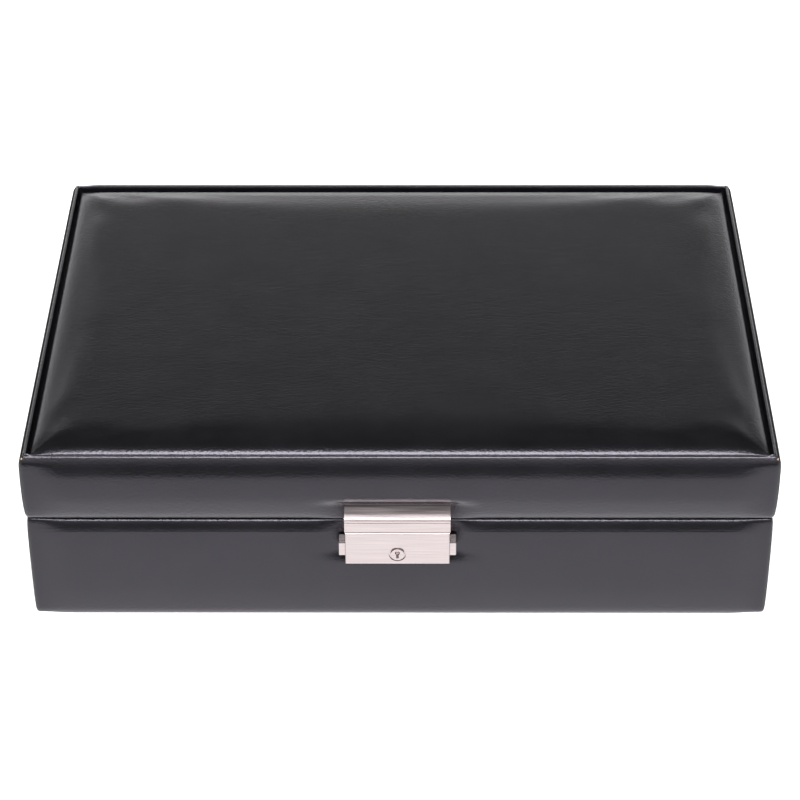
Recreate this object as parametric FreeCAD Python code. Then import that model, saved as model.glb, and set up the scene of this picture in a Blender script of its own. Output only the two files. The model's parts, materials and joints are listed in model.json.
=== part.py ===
import FreeCAD, Part
import math
import os

# A leather-covered cufflink box. A padded lid turns on two rear hinges above a tray of small
# compartments. Below the tray is a drawer whose front is the whole front wall of the base, and
# which carries the lock case. The catch on the lid hangs two hooks into that case.
# Millimetres, +Z up, the front faces -Y, the origin is the centre of the underside.

# ------------------------------------------------------------------ driving dimensions
# Box
box_width = 275.0
box_depth = 192.0
base_height = 45.0
lid_height = 28.0
lid_overhang = 0.5  # the lid stands this far proud of the base on all four sides
corner_radius = 2.0  # upright corners of the leather
edge_radius = 0.8  # top and front edges of the leather

# Sheet materials
leather = 0.8
velvet = 0.8
foam = 1.0  # padding between the drawer front's board and its leather
wall_board = 6.0
base_board = 4.0
foot_sheet = 1.0

# Tray above the drawer
tray_depth = 16.0  # from the top of the base down to the shelf
shelf_board = 3.0
shelf_groove = 1.5  # how far the shelf's edges run into the walls
tray_wall_board = 3.4
tray_wall_gap = 0.5  # between the tray's front wall and the drawer front
tray_pad = 1.2
tray_columns = 6
tray_rows = 4
divider_board = 3.0
divider_drop = 1.5  # the dividers' tops lie this far below the top of the base
divider_gap = 0.2  # at the ends of each divider and in its halving slots

# Drawer
drawer_travel = 120.0
drawer_front_board = 5.4
drawer_front_gap = 0.4  # between the drawer front and the lid
drawer_side_gap = 1.0
drawer_back_gap = 4.0
drawer_board = 4.0
drawer_bottom_board = 2.5
drawer_pad = 1.2
drawer_lining = 0.6
drawer_columns = 3
drawer_rows = 2
drawer_divider_drop = 1.2
runner_height = 1.0
runner_width = 10.0
runner_inset = 14.0  # from the side wall to the runner
stop_rail_height = 1.8
stop_rail_depth = 4.0
stop_rail_setback = 0.5  # from the tray's front wall to the rail
stop_clearance = 0.5  # between the drawer's sides and the rail, and between the blocks and the shelf
stop_block_depth = 4.0
drawer_screw_spacing = 80.0
drawer_screw_radius = 1.5
drawer_screw_length = 8.0
drawer_screw_head_radius = 2.8

# Lid
lid_top_board = 4.0
rim_height = 6.0  # from the lid's top board up to the crest of the rim
rim_board = 0.8
cushion_gap = 1.5  # between the rim and the cushion
cushion_rise = 2.5  # how far the cushion's crown stands above the rim
cushion_corner_radius = 6.0
cushion_edge_radius = 5.0
lid_pad = 3.0  # the padded panel under the lid's top board
lid_pad_gap = 0.3
mitre_reach = 20.0  # how far inward the mitred pieces are followed

# Hinges
hinge_length = 30.0
hinge_spacing = 160.0
hinge_knuckles = 5
hinge_leaf = 1.2
hinge_leaf_inset = 0.5  # from the leaf's front edge to the board's inner face
hinge_barrel_radius = 1.6
hinge_pin_radius = 0.8
hinge_pin_clearance = 0.05
hinge_gap = 0.3  # around the barrel, and between the barrel and the lid's back
hinge_knuckle_gap = 0.2
hinge_stop_angle = 95.0
hinge_stop_reach = 4.5  # how far the stop tails reach from the axis
hinge_screw_spacing = 18.0
hinge_screw_radius = 0.8
hinge_screw_head_radius = 1.6
hinge_screw_length = 7.0

# Lock case on the drawer front and catch on the lid, measured about the lock's own centre line
lock_x = -0.8
lock_width = 38.4
lock_height = 14.3
lock_depth = 8.2
lock_wall = 0.9
lock_edge_radius = 0.5
lock_top_gap = 0.5  # from the top of the case up to the catch
lock_plate = 0.8
lock_plate_gap = 0.1
lock_screw_spacing = 25.0
lock_screw_up = 2.3  # from the bottom of the case
lock_screw_radius = 0.8
lock_screw_head_radius = 1.6
lock_screw_head = 1.2
lock_post_radius = 1.25
catch_side_lap = 0.2  # how far each end of the catch stands past the case
catch_height = 6.7
catch_wall = 0.9
catch_brow_radius = 6.7  # the wide bend where the top starts to fall towards the front
catch_brow_turn = 20.0
catch_ridge_radius = 0.7  # the tight bend below it
catch_groove_drop = 1.2  # from the top of the catch to the first groove
catch_groove_pitch = 1.05
catch_groove_width = 0.35
catch_groove_depth = 0.25
catch_post_radius = 1.8
catch_rivet_spacing = 26.0
catch_rivet_radius = 1.0
catch_rivet_up = 3.3
catch_rivet_sink = 2.0
catch_rivet_head_radius = 2.0
catch_rivet_head = 0.8

# Hooks under the catch
hook_inner = 9.5  # from the lock's centre line to the tip of the foot
hook_foot = 2.5
hook_leg = 1.6
hook_foot_height = 1.7
hook_drop = 7.6  # from the catch down to the foot's underside
hook_tenon = 1.5
hook_depth = 4.0
hook_gap = 0.3  # around the hooks in every slot they pass through

# Side buttons, each with a latch nose that holds a hook's foot down
button_travel = 2.0
button_proud = 2.4
button_height = 5.5
button_depth = 5.4
button_setback = 1.7  # from the front of the case
button_up = 2.9  # from the bottom of the case
button_groove_places = (0.8, 3.6)  # from the front of the button
button_groove_width = 0.4
button_groove_depth = 0.4
button_edge_radius = 0.3
button_gap = 0.1
button_flange = 0.6
button_flange_width = 0.8
latch_depth = 2.4
latch_bar = 1.6
latch_column = 1.8
latch_nose = 2.2
latch_engagement = 1.2
latch_bar_gap = 0.9
spring_radius = 0.9
spring_wire = 0.4
spring_post_width = 2.0

# Key plug and dead bolt
plug_up = 4.6  # from the bottom of the case
plug_radius = 2.5
plug_clearance = 0.05
plug_proud = 0.3
plug_flange = 0.55
plug_ring = 0.7
plug_ring_depth = 0.5
keyway_width = 1.0
keyway_height = 3.4
keyway_eye_radius = 0.9
keyway_depth = 2.4
bolt_throw = 2.5
bolt_plate = 1.4
bolt_half_width = 3.6
bolt_arm = 2.0
bolt_engagement = 1.4
bolt_gap = 0.2
bolt_rail = 0.7
bolt_rail_overlap = 1.4
drive_pin_radius = 0.6
drive_pin_gap = 0.12

# ------------------------------------------------------------------ planes and places
half_width = box_width / 2
half_depth = box_depth / 2
board_x = half_width - leather
room_x = board_x - wall_board
board_y = half_depth - leather
room_y = board_y - wall_board
front_thickness = leather + foam + drawer_front_board + velvet
wall_front_y = -half_depth + front_thickness
board_z = foot_sheet + base_board
cover_z = base_height - leather

shelf_top = base_height - tray_depth
shelf_under = shelf_top - shelf_board
tray_front_y = wall_front_y + tray_wall_gap
tray_board_y = tray_front_y + velvet
tray_room_front = tray_board_y + tray_wall_board + velvet
tray_room_x = room_x - velvet
tray_room_back = room_y - velvet
tray_floor = shelf_top + tray_pad
divider_top = base_height - divider_drop

drawer_under = board_z + runner_height
drawer_x = room_x - drawer_side_gap
drawer_back_y = room_y - drawer_back_gap
drawer_side_under = drawer_under + drawer_bottom_board
stop_rail_under = shelf_under - stop_rail_height
stop_rail_front = tray_room_front + stop_rail_setback
drawer_side_top = stop_rail_under - stop_clearance
drawer_front_top = base_height - drawer_front_gap
drawer_inner_x = drawer_x - drawer_board
drawer_inner_front = wall_front_y + drawer_board
drawer_inner_back = drawer_back_y - drawer_board
drawer_screw_z = (drawer_side_under + drawer_side_top) / 2

lid_x = half_width + lid_overhang
lid_y = half_depth + lid_overhang
lid_top = base_height + lid_height
lid_board_x = lid_x - leather
lid_board_y = lid_y - leather
lid_board_under = base_height + leather
lid_board_top = lid_top - leather
lid_panel_top = lid_top - rim_height
lid_panel_under = lid_panel_top - lid_top_board
lid_panel_x = lid_board_x - rim_board
lid_panel_y = lid_board_y - rim_board
lid_room_x = lid_board_x - wall_board
lid_room_y = lid_board_y - wall_board
cushion_x = lid_panel_x - leather - cushion_gap
cushion_y = lid_panel_y - leather - cushion_gap
cushion_top = lid_top + cushion_rise

hinge_y = lid_y + hinge_gap + hinge_barrel_radius
hinge_leaf_front = room_y + hinge_leaf_inset
hinge_screw_y = (hinge_leaf_front + board_y) / 2

catch_width = lock_width + 2 * catch_side_lap
lock_back = -half_depth
lock_front = lock_back - lock_depth
lock_inner_front = lock_front + lock_wall
lock_top = base_height - lock_top_gap
lock_under = lock_top - lock_height
lock_plate_front = lock_back - lock_plate
lock_screw_z = lock_under + lock_screw_up
plug_z = lock_under + plug_up
button_under = lock_under + button_up
button_top = button_under + button_height
button_front = lock_front + button_setback
button_back = button_front + button_depth
hook_under = base_height - hook_drop
hook_foot_top = hook_under + hook_foot_height
hook_outer = hook_inner + hook_foot + hook_leg
hook_front = lock_inner_front + hook_gap
hook_back = hook_front + hook_depth
latch_front = lock_inner_front + button_gap
latch_back = latch_front + latch_depth
latch_tip = hook_inner + latch_engagement
latch_inner = latch_tip - latch_nose - latch_column
latch_bar_top = hook_under - latch_bar_gap
latch_nose_under = hook_foot_top + hook_gap
latch_top = latch_nose_under + latch_nose
bolt_front = latch_back + bolt_gap
bolt_back = bolt_front + bolt_plate
bolt_arm_top = latch_nose_under + bolt_arm
bolt_tip = hook_inner + bolt_engagement - bolt_throw
bolt_under = lock_under + lock_wall + bolt_gap + bolt_rail + bolt_gap
drive_pin_throw = bolt_throw


# ------------------------------------------------------------------ helpers
def block(x, y, z):
    """A box between the low and high limits along each axis."""
    return Part.makeBox(x[1] - x[0], y[1] - y[0], z[1] - z[0], FreeCAD.Vector(x[0], y[0], z[0]))


def wide(half, y, z):
    """A box centred on x = 0."""
    return block((-half, half), y, z)


def rod(radius, start, end):
    """A cylinder between two points."""
    line = end - start
    return Part.makeCylinder(radius, line.Length, start, line)


def rod_x(radius, x, y, z):
    return rod(radius, FreeCAD.Vector(x[0], y, z), FreeCAD.Vector(x[1], y, z))


def rod_y(radius, x, y, z):
    return rod(radius, FreeCAD.Vector(x, y[0], z), FreeCAD.Vector(x, y[1], z))


def rod_z(radius, x, y, z):
    return rod(radius, FreeCAD.Vector(x, y, z[0]), FreeCAD.Vector(x, y, z[1]))


def cut(shape, *tools):
    for tool in tools:
        shape = shape.cut(tool)
    return shape


def fuse(shape, *others):
    for other in others:
        shape = shape.fuse(other)
    return shape.removeSplitter()


def moved(shape, x=0.0, y=0.0, z=0.0):
    copy = shape.copy()
    copy.translate(FreeCAD.Vector(x, y, z))
    return copy


def mirrored(shape):
    """The same piece on the other side of x = 0."""
    return shape.mirror(FreeCAD.Vector(0, 0, 0), FreeCAD.Vector(1, 0, 0))


def both(shape):
    return [shape, mirrored(shape)]


def group(shapes):
    return Part.makeCompound(shapes)


def at_lock(shape):
    """Moves a piece drawn about x = 0 to the lock's centre line."""
    return moved(shape, x=lock_x)


def upright(edge):
    low, high = edge.BoundBox.ZMin, edge.BoundBox.ZMax
    return high - low > 0.99 * edge.Length


def in_plane(edge, axis, value):
    """Whether an edge lies in the plane where the axis (0, 1 or 2) has this value."""
    return all(abs(vertex.Point[axis] - value) < 1e-6 for vertex in edge.Vertexes)


def rounded(shape, radius, chosen):
    edges = [edge for edge in shape.Edges if chosen(edge)]
    return shape.makeFillet(radius, edges)


def halved_board(board, crossings, low, high, along_x):
    """Cuts a halving slot in a divider at each crossing, between the heights low and high."""
    reach = divider_board / 2 + divider_gap / 2
    box = board.BoundBox
    for place in crossings:
        span = (place - reach, place + reach)
        if along_x:
            board = board.cut(block(span, (box.YMin - 1, box.YMax + 1), (low, high)))
        else:
            board = board.cut(block((box.XMin - 1, box.XMax + 1), span, (low, high)))
    return board


def evenly(low, high, count, thickness):
    """Centres of the dividers that part a room into count equal cells."""
    cell = (high - low - (count - 1) * thickness) / count
    return [low + (n + 1) * cell + (n + 0.5) * thickness for n in range(count - 1)]


def dividers(half, front, back, floor, top, columns, rows):
    """Halved dividers of a room: those along X, slotted from above, and those along Y, from below."""
    across = evenly(-half, half, columns, divider_board)
    along = evenly(front, back, rows, divider_board)
    reach = divider_board / 2
    middle = (floor + top) / 2
    long_ones = [
        halved_board(
            wide(half - divider_gap, (y - reach, y + reach), (floor, top)), across, middle, top + 1, True
        )
        for y in along
    ]
    cross_ones = [
        halved_board(
            block((x - reach, x + reach), (front + divider_gap, back - divider_gap), (floor, top)),
            along,
            floor - 1,
            middle,
            False,
        )
        for x in across
    ]
    return long_ones, cross_ones


def mitred(ring, half_x, half_y, low, high):
    """Parts a rectangular ring into its front, back, left and right pieces, mitred at the corners."""
    inner_x = half_x - mitre_reach
    inner_y = half_y - mitre_reach

    def wedge(points):
        wire = Part.makePolygon([FreeCAD.Vector(x, y, low) for x, y in points + points[:1]])
        return Part.Face(wire).extrude(FreeCAD.Vector(0, 0, high - low))

    front = [(-half_x, -half_y), (half_x, -half_y), (inner_x, -inner_y), (-inner_x, -inner_y)]
    back = [(x, -y) for x, y in front]
    left = [(-half_x, -half_y), (-inner_x, -inner_y), (-inner_x, inner_y), (-half_x, half_y)]
    right = [(-x, y) for x, y in left]
    return [ring.common(wedge(points)) for points in (front, back, left, right)]


# ------------------------------------------------------------------ hinges
def hinge_centres():
    return (-hinge_spacing / 2, hinge_spacing / 2)


def knuckle_spans(centre, own):
    """X limits of one leaf's knuckles: the lid's leaf has the odd ones, the base's the even ones."""
    pitch = hinge_length / hinge_knuckles
    start = centre - hinge_length / 2
    spans = []
    for n in range(hinge_knuckles):
        if (n % 2 == 1) == (own == "lid"):
            spans.append((start + n * pitch, start + (n + 1) * pitch))
    return spans


def hinge_plate(centre, own):
    """The flat of one leaf, let into the top of the base or the underside of the lid."""
    side = 1 if own == "lid" else -1
    limits = sorted((base_height, base_height + side * hinge_leaf))
    across = (centre - hinge_length / 2, centre + hinge_length / 2)
    return block(across, (hinge_leaf_front, hinge_y), limits)


def hinge_tail(centre, own):
    """The stop tail: its inner face lies on a plane through the axis, half the stop angle off level."""
    side = 1 if own == "lid" else -1
    across = (centre - hinge_length / 2, centre + hinge_length / 2)
    tail = block(across, (0, hinge_stop_reach), sorted((0, side * hinge_leaf)))
    turn = side * hinge_stop_angle / 2
    tail.rotate(FreeCAD.Vector(0, 0, 0), FreeCAD.Vector(1, 0, 0), turn)
    return moved(tail, y=hinge_y, z=base_height)


def hinge_screw_places(centre):
    return [centre - hinge_screw_spacing / 2, centre + hinge_screw_spacing / 2]


def hinge_screw(x, own):
    """A countersunk screw, flush with its leaf."""
    side = 1 if own == "lid" else -1
    head = Part.makeCone(
        hinge_screw_head_radius,
        hinge_screw_radius,
        hinge_leaf,
        FreeCAD.Vector(x, hinge_screw_y, base_height),
        FreeCAD.Vector(0, 0, side),
    )
    limits = sorted((base_height, base_height + side * hinge_screw_length))
    return fuse(head, rod_z(hinge_screw_radius, x, hinge_screw_y, limits))


def hinge_screws(own):
    return [hinge_screw(x, own) for centre in hinge_centres() for x in hinge_screw_places(centre)]


def hinge_pin(centre):
    across = (centre - hinge_length / 2, centre + hinge_length / 2)
    return rod_x(hinge_pin_radius, across, hinge_y, base_height)


def hinge_leaf_piece(centre, own):
    other = "base" if own == "lid" else "lid"
    leaf = fuse(hinge_plate(centre, own), hinge_tail(centre, own))
    clear = hinge_barrel_radius + hinge_gap
    for low, high in knuckle_spans(centre, other):
        leaf = leaf.cut(rod_x(clear, (low, high), hinge_y, base_height))
    for low, high in knuckle_spans(centre, own):
        span = (low + hinge_knuckle_gap / 2, high - hinge_knuckle_gap / 2)
        leaf = leaf.fuse(rod_x(hinge_barrel_radius, span, hinge_y, base_height))
    across = (centre - hinge_length, centre + hinge_length)
    bore = hinge_pin_radius + (hinge_pin_clearance if own == "lid" else 0.0)
    screws = [hinge_screw(x, own) for x in hinge_screw_places(centre)]
    return cut(leaf.removeSplitter(), rod_x(bore, across, hinge_y, base_height), *screws)


def hinge_seats(own):
    """What is cut from the walls for the leaves and their screws."""
    return [hinge_plate(centre, own) for centre in hinge_centres()] + hinge_screws(own)


# ------------------------------------------------------------------ base
def base_parts():
    wall_z = (board_z, cover_z)
    groove = block((-room_x - shelf_groove, room_x + shelf_groove), (wall_front_y, room_y + shelf_groove),
                   (shelf_under, shelf_top))
    side = cut(block((room_x, board_x), (wall_front_y + leather, board_y), wall_z), groove)
    back = cut(wide(room_x, (room_y, board_y), wall_z), groove, *hinge_seats("base"))
    bottom = wide(board_x, (wall_front_y + leather, board_y), (foot_sheet, board_z))

    outside = wide(half_width, (wall_front_y, half_depth), (foot_sheet, base_height))
    outside = rounded(outside, corner_radius, lambda e: upright(e) and in_plane(e, 1, half_depth))
    cover = cut(
        outside,
        wide(board_x, (wall_front_y + leather, board_y), (0, cover_z)),
        wide(room_x, (wall_front_y - 1, room_y), (0, base_height + 1)),
        *hinge_seats("base"),
    )
    foot = wide(board_x - corner_radius, (wall_front_y + corner_radius, board_y - corner_radius),
                (0, foot_sheet))
    runner_x = room_x - runner_inset
    runner = block((runner_x - runner_width, runner_x), (wall_front_y + leather, drawer_back_y),
                   (board_z, drawer_under))
    return {
        "foot_sheet": foot,
        "base_board": bottom,
        "base_side_left": mirrored(side),
        "base_side_right": side,
        "base_back": back,
        "base_leather": cover,
        "drawer_runners": group(both(runner)),
    }


def tray_parts():
    shelf = wide(room_x + shelf_groove, (tray_board_y, room_y + shelf_groove), (shelf_under, shelf_top))
    front_board = wide(room_x, (tray_board_y, tray_board_y + tray_wall_board),
                       (shelf_top, base_height - velvet))
    front_cover = cut(
        wide(room_x, (tray_front_y, tray_room_front), (shelf_under, base_height)),
        wide(room_x + 1, (tray_board_y, tray_board_y + tray_wall_board), (shelf_under, base_height - velvet)),
        wide(room_x + 1, (tray_board_y, tray_room_front + 1), (shelf_under - 1, shelf_top)),
    )
    wall_lining = cut(
        wide(room_x, (tray_room_front, room_y), (shelf_top, base_height)),
        wide(tray_room_x, (tray_room_front - 1, tray_room_back), (0, base_height + 1)),
    )
    pad = wide(tray_room_x, (tray_room_front, tray_room_back), (shelf_top, tray_floor))
    long_ones, cross_ones = dividers(
        tray_room_x, tray_room_front, tray_room_back, tray_floor, divider_top, tray_columns, tray_rows
    )
    stop_rail = wide(drawer_x, (stop_rail_front, stop_rail_front + stop_rail_depth),
                     (stop_rail_under, shelf_under))
    return {
        "tray_shelf": shelf,
        "tray_front_board": front_board,
        "tray_front_velvet": front_cover,
        "tray_wall_velvet": wall_lining,
        "tray_floor_pad": pad,
        "tray_dividers_long": group(long_ones),
        "tray_dividers_cross": group(cross_ones),
        "drawer_stop_rail": stop_rail,
    }


# ------------------------------------------------------------------ drawer
def hook_way(shape):
    """Cuts the two notches that let the catch's hooks pass through the drawer front."""
    span = (lock_x + hook_inner - hook_gap, lock_x + hook_outer + hook_gap)
    low = hook_under - hook_gap
    other = (2 * lock_x - span[1], 2 * lock_x - span[0])
    deep = (hook_front - hook_gap, wall_front_y + 1)
    return cut(shape, block(span, deep, (low, base_height + 1)), block(other, deep, (low, base_height + 1)))


def lock_screws():
    """Two screws from behind the front board, through the lock's back plate into its posts."""
    tip = lock_inner_front + lock_wall
    head_back = wall_front_y - velvet
    shanks = []
    for side in (-1, 1):
        x = side * lock_screw_spacing / 2
        head = rod_y(lock_screw_head_radius, x, (head_back - lock_screw_head, head_back), lock_screw_z)
        shanks.append(fuse(head, rod_y(lock_screw_radius, x, (tip, head_back), lock_screw_z)))
    return [at_lock(screw) for screw in shanks]


def drawer_screws():
    """Countersunk screws that hold the drawer's inner front to its front board."""
    screws = []
    for side in (-1, 1):
        x = side * drawer_screw_spacing
        head = Part.makeCone(
            drawer_screw_head_radius,
            drawer_screw_radius,
            drawer_screw_head_radius - drawer_screw_radius,
            FreeCAD.Vector(x, drawer_inner_front, drawer_screw_z),
            FreeCAD.Vector(0, -1, 0),
        )
        span = (drawer_inner_front - drawer_screw_length, drawer_inner_front)
        screws.append(fuse(head, rod_y(drawer_screw_radius, x, span, drawer_screw_z)))
    return screws


def drawer_front_parts():
    face_y = -half_depth
    foam_y = face_y + leather
    board_front = foam_y + foam
    velvet_y = wall_front_y - velvet
    inside_z = (foot_sheet + leather, drawer_front_top - leather)
    outside = wide(half_width, (face_y, velvet_y), (foot_sheet, drawer_front_top))
    outside = rounded(outside, edge_radius, lambda e: in_plane(e, 1, face_y))
    cover = outside.cut(wide(board_x, (foam_y, velvet_y + 1), inside_z))
    padding = wide(board_x, (foam_y, board_front), inside_z)
    front_board = wide(board_x, (board_front, velvet_y), inside_z)
    back_velvet = wide(half_width, (velvet_y, wall_front_y), (foot_sheet, drawer_front_top))
    screws = lock_screws()
    return {
        "drawer_front_leather": cut(hook_way(cover), *screws),
        "drawer_front_foam": cut(hook_way(padding), *screws),
        "drawer_front_board": cut(hook_way(front_board), *screws, *drawer_screws()),
        "drawer_front_velvet": cut(hook_way(back_velvet), *drawer_screws()),
    }


def drawer_box_parts():
    wall_z = (drawer_side_under, drawer_side_top)
    side = block((drawer_inner_x, drawer_x), (wall_front_y, drawer_back_y), wall_z)
    back = wide(drawer_inner_x, (drawer_inner_back, drawer_back_y), wall_z)
    inner_front = wide(drawer_inner_x, (wall_front_y, drawer_inner_front), wall_z)
    bottom = wide(drawer_x, (wall_front_y, drawer_back_y), (drawer_under, drawer_side_under))
    room = wide(drawer_inner_x, (drawer_inner_front, drawer_inner_back), wall_z)
    lined_x = drawer_inner_x - drawer_lining
    lined_y = (drawer_inner_front + drawer_lining, drawer_inner_back - drawer_lining)
    floor = drawer_side_under + drawer_pad
    wall_lining = room.cut(wide(lined_x, lined_y, (0, base_height)))
    pad = wide(lined_x, lined_y, (drawer_side_under, floor))
    long_ones, cross_ones = dividers(
        lined_x, *lined_y, floor, drawer_side_top - drawer_divider_drop, drawer_columns, drawer_rows
    )
    block_y = stop_rail_front + stop_rail_depth + drawer_travel
    stop_block = block((drawer_inner_x, drawer_x), (block_y, block_y + stop_block_depth),
                       (drawer_side_top, shelf_under - stop_clearance))
    return {
        "drawer_inner_front": cut(inner_front, *drawer_screws()),
        "drawer_side_left": mirrored(side),
        "drawer_side_right": side,
        "drawer_back": back,
        "drawer_bottom": bottom,
        "drawer_wall_velvet": wall_lining,
        "drawer_floor_pad": pad,
        "drawer_divider_long": group(long_ones),
        "drawer_dividers_cross": group(cross_ones),
        "drawer_stop_blocks": group(both(stop_block)),
        "drawer_screws": group(drawer_screws()),
        "lock_screws": group(lock_screws()),
    }


# ------------------------------------------------------------------ lid
def catch_rivets():
    """Two rivets through the lid's front wall into the back of the catch."""
    tip = -lid_y - catch_rivet_sink
    head_back = -lid_room_y
    z = base_height + catch_rivet_up
    rivets = []
    for side in (-1, 1):
        x = side * catch_rivet_spacing / 2
        head = rod_y(catch_rivet_head_radius, x, (head_back - catch_rivet_head, head_back), z)
        rivets.append(at_lock(fuse(head, rod_y(catch_rivet_radius, x, (tip, head_back), z))))
    return rivets


def lid_frame_boards():
    thick = cut(
        wide(lid_board_x, (-lid_board_y, lid_board_y), (lid_board_under, lid_panel_under)),
        wide(lid_room_x, (-lid_room_y, lid_room_y), (0, lid_top)),
    )
    thin = cut(
        wide(lid_board_x, (-lid_board_y, lid_board_y), (lid_panel_under, lid_board_top)),
        wide(lid_panel_x, (-lid_panel_y, lid_panel_y), (0, lid_top)),
    )
    ring = fuse(thick, thin)
    front, back, left, right = mitred(ring, lid_board_x, lid_board_y, base_height, lid_top)
    return {
        "lid_front_board": cut(front, *catch_rivets()),
        "lid_back_board": cut(back, *hinge_seats("lid")),
        "lid_side_left": left,
        "lid_side_right": right,
    }


def lid_cover():
    outside = wide(lid_x, (-lid_y, lid_y), (base_height, lid_top))
    outside = rounded(outside, corner_radius, upright)
    outside = rounded(outside, edge_radius, lambda e: in_plane(e, 2, lid_top))
    rim_x = lid_panel_x - leather
    rim_y = lid_panel_y - leather
    cover = cut(
        outside,
        wide(lid_board_x, (-lid_board_y, lid_board_y), (lid_board_under, lid_board_top)),
        wide(lid_room_x, (-lid_room_y, lid_room_y), (base_height - 1, lid_board_under)),
        wide(rim_x, (-rim_y, rim_y), (lid_board_top, lid_top + 1)),
    )
    rim_inside = cut(
        wide(lid_panel_x, (-lid_panel_y, lid_panel_y), (lid_panel_top, lid_board_top)),
        wide(rim_x, (-rim_y, rim_y), (0, lid_top)),
    )
    return cut(fuse(cover, rim_inside), *hinge_seats("lid"), *catch_rivets())


def cushion_parts():
    outside = wide(cushion_x, (-cushion_y, cushion_y), (lid_panel_top, cushion_top))
    outside = rounded(outside, cushion_corner_radius, upright)
    outside = rounded(outside, cushion_edge_radius, lambda e: in_plane(e, 2, cushion_top))
    inside = wide(cushion_x - leather, (-cushion_y + leather, cushion_y - leather),
                  (lid_panel_top, cushion_top - leather))
    inside = rounded(inside, cushion_corner_radius - leather, upright)
    inside = rounded(inside, cushion_edge_radius - leather, lambda e: in_plane(e, 2, cushion_top - leather))
    return {"lid_cushion": outside.cut(inside), "lid_cushion_foam": inside}


def lid_parts():
    panel = wide(lid_panel_x, (-lid_panel_y, lid_panel_y), (lid_panel_under, lid_panel_top))
    lined_x = lid_room_x - velvet
    lined_y = lid_room_y - velvet
    lining = cut(
        wide(lid_room_x, (-lid_room_y, lid_room_y), (base_height, lid_panel_under)),
        wide(lined_x, (-lined_y, lined_y), (0, lid_top)),
        *catch_rivets(),
    )
    pad = wide(lined_x - lid_pad_gap, (-lined_y + lid_pad_gap, lined_y - lid_pad_gap),
               (lid_panel_under - lid_pad, lid_panel_under))
    return {
        **lid_frame_boards(),
        "lid_top_board": panel,
        "lid_leather": lid_cover(),
        "lid_wall_velvet": lining,
        "lid_lining_pad": pad,
        **cushion_parts(),
    }


# ------------------------------------------------------------------ catch, lock and key
def catch_bend(centre_y, centre_z, radius, start, end):
    """An arc of the catch's side view, between two angles from straight up towards the front."""
    angles = (start, (start + end) / 2, end)
    return Part.Arc(
        *[
            FreeCAD.Vector(
                -catch_width / 2, centre_y - radius * math.sin(angle), centre_z + radius * math.cos(angle)
            )
            for angle in angles
        ]
    ).toShape()


def catch_plate():
    """A hollow cover drawn as a side view: flat on top, bent over a ridge, upright in front."""
    back = -lid_y
    top = base_height + catch_height
    turn = math.radians(catch_brow_turn)
    ridge_y = lock_front + catch_ridge_radius
    brow_y = ridge_y + (catch_brow_radius - catch_ridge_radius) * math.sin(turn)
    brow_z = top - catch_brow_radius
    ridge_z = brow_z + (catch_brow_radius - catch_ridge_radius) * math.cos(turn)
    corners = [
        FreeCAD.Vector(-catch_width / 2, y, z)
        for y, z in (
            (lock_front, ridge_z),
            (lock_front, base_height),
            (back, base_height),
            (back, top),
            (brow_y, top),
        )
    ]
    edges = [Part.LineSegment(start, end).toShape() for start, end in zip(corners, corners[1:])]
    edges.append(catch_bend(brow_y, brow_z, catch_brow_radius, 0.0, turn))
    edges.append(catch_bend(ridge_y, ridge_z, catch_ridge_radius, turn, math.pi / 2))
    cover = Part.Face(Part.Wire(edges)).extrude(FreeCAD.Vector(catch_width, 0, 0))
    hollow = wide(
        catch_width / 2 - catch_wall,
        (lock_front + catch_wall + catch_groove_depth, back + 1),
        (base_height + catch_wall, ridge_z),
    )
    cover = cover.cut(hollow)
    for groove_top in (top - catch_groove_drop, top - catch_groove_drop - catch_groove_pitch):
        cover = cover.cut(
            wide(
                catch_width,
                (lock_front - 1, lock_front + catch_groove_depth),
                (groove_top - catch_groove_width, groove_top),
            )
        )
    post = rod_y(catch_post_radius, catch_rivet_spacing / 2, (lock_front + catch_wall, back),
                 base_height + catch_rivet_up)
    return cut(at_lock(fuse(cover, *both(post))), *catch_rivets(), *catch_hooks())


def catch_hooks():
    """Two legs tenoned into the catch, with feet that point at each other."""
    deep = (hook_front, hook_back)
    leg_x = (hook_outer - hook_leg, hook_outer)
    leg = block(leg_x, deep, (hook_under, base_height + hook_tenon))
    foot = block((hook_inner, leg_x[0]), deep, (hook_under, hook_foot_top))
    return [at_lock(hook) for hook in both(fuse(leg, foot))]


def lock_case():
    half = lock_width / 2
    inner = half - lock_wall
    shell = wide(half, (lock_front, lock_back), (lock_under, lock_top))
    shell = rounded(shell, lock_edge_radius, lambda e: in_plane(e, 1, lock_front))
    hollow = wide(inner, (lock_inner_front, lock_back + 1), (lock_under + lock_wall, lock_top - lock_wall))
    window = wide(
        half + 1,
        (button_front - button_gap, button_back + button_gap),
        (button_under - button_gap, button_top + button_gap),
    )
    plug_hole = rod_y(plug_radius + plug_clearance, 0, (lock_front - 1, lock_inner_front), plug_z)
    ring = rod_y(plug_radius + plug_ring, 0, (lock_front, lock_front + plug_ring_depth), plug_z)
    slot = block(
        (hook_inner - hook_gap, hook_outer + hook_gap),
        (hook_front - hook_gap, lock_back + 1),
        (lock_top - lock_wall - 1, lock_top + 1),
    )
    shell = cut(shell, hollow, window, plug_hole, ring, *both(slot))
    post_z = (latch_nose_under - spring_radius - spring_wire, latch_nose_under + spring_radius / 2)
    spring_post = wide(spring_post_width / 2, (lock_inner_front, latch_back), post_z)
    post = rod_y(lock_post_radius, lock_screw_spacing / 2, (lock_inner_front, lock_plate_front), lock_screw_z)
    return cut(at_lock(fuse(shell, spring_post, *both(post))), *lock_screws())


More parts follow.
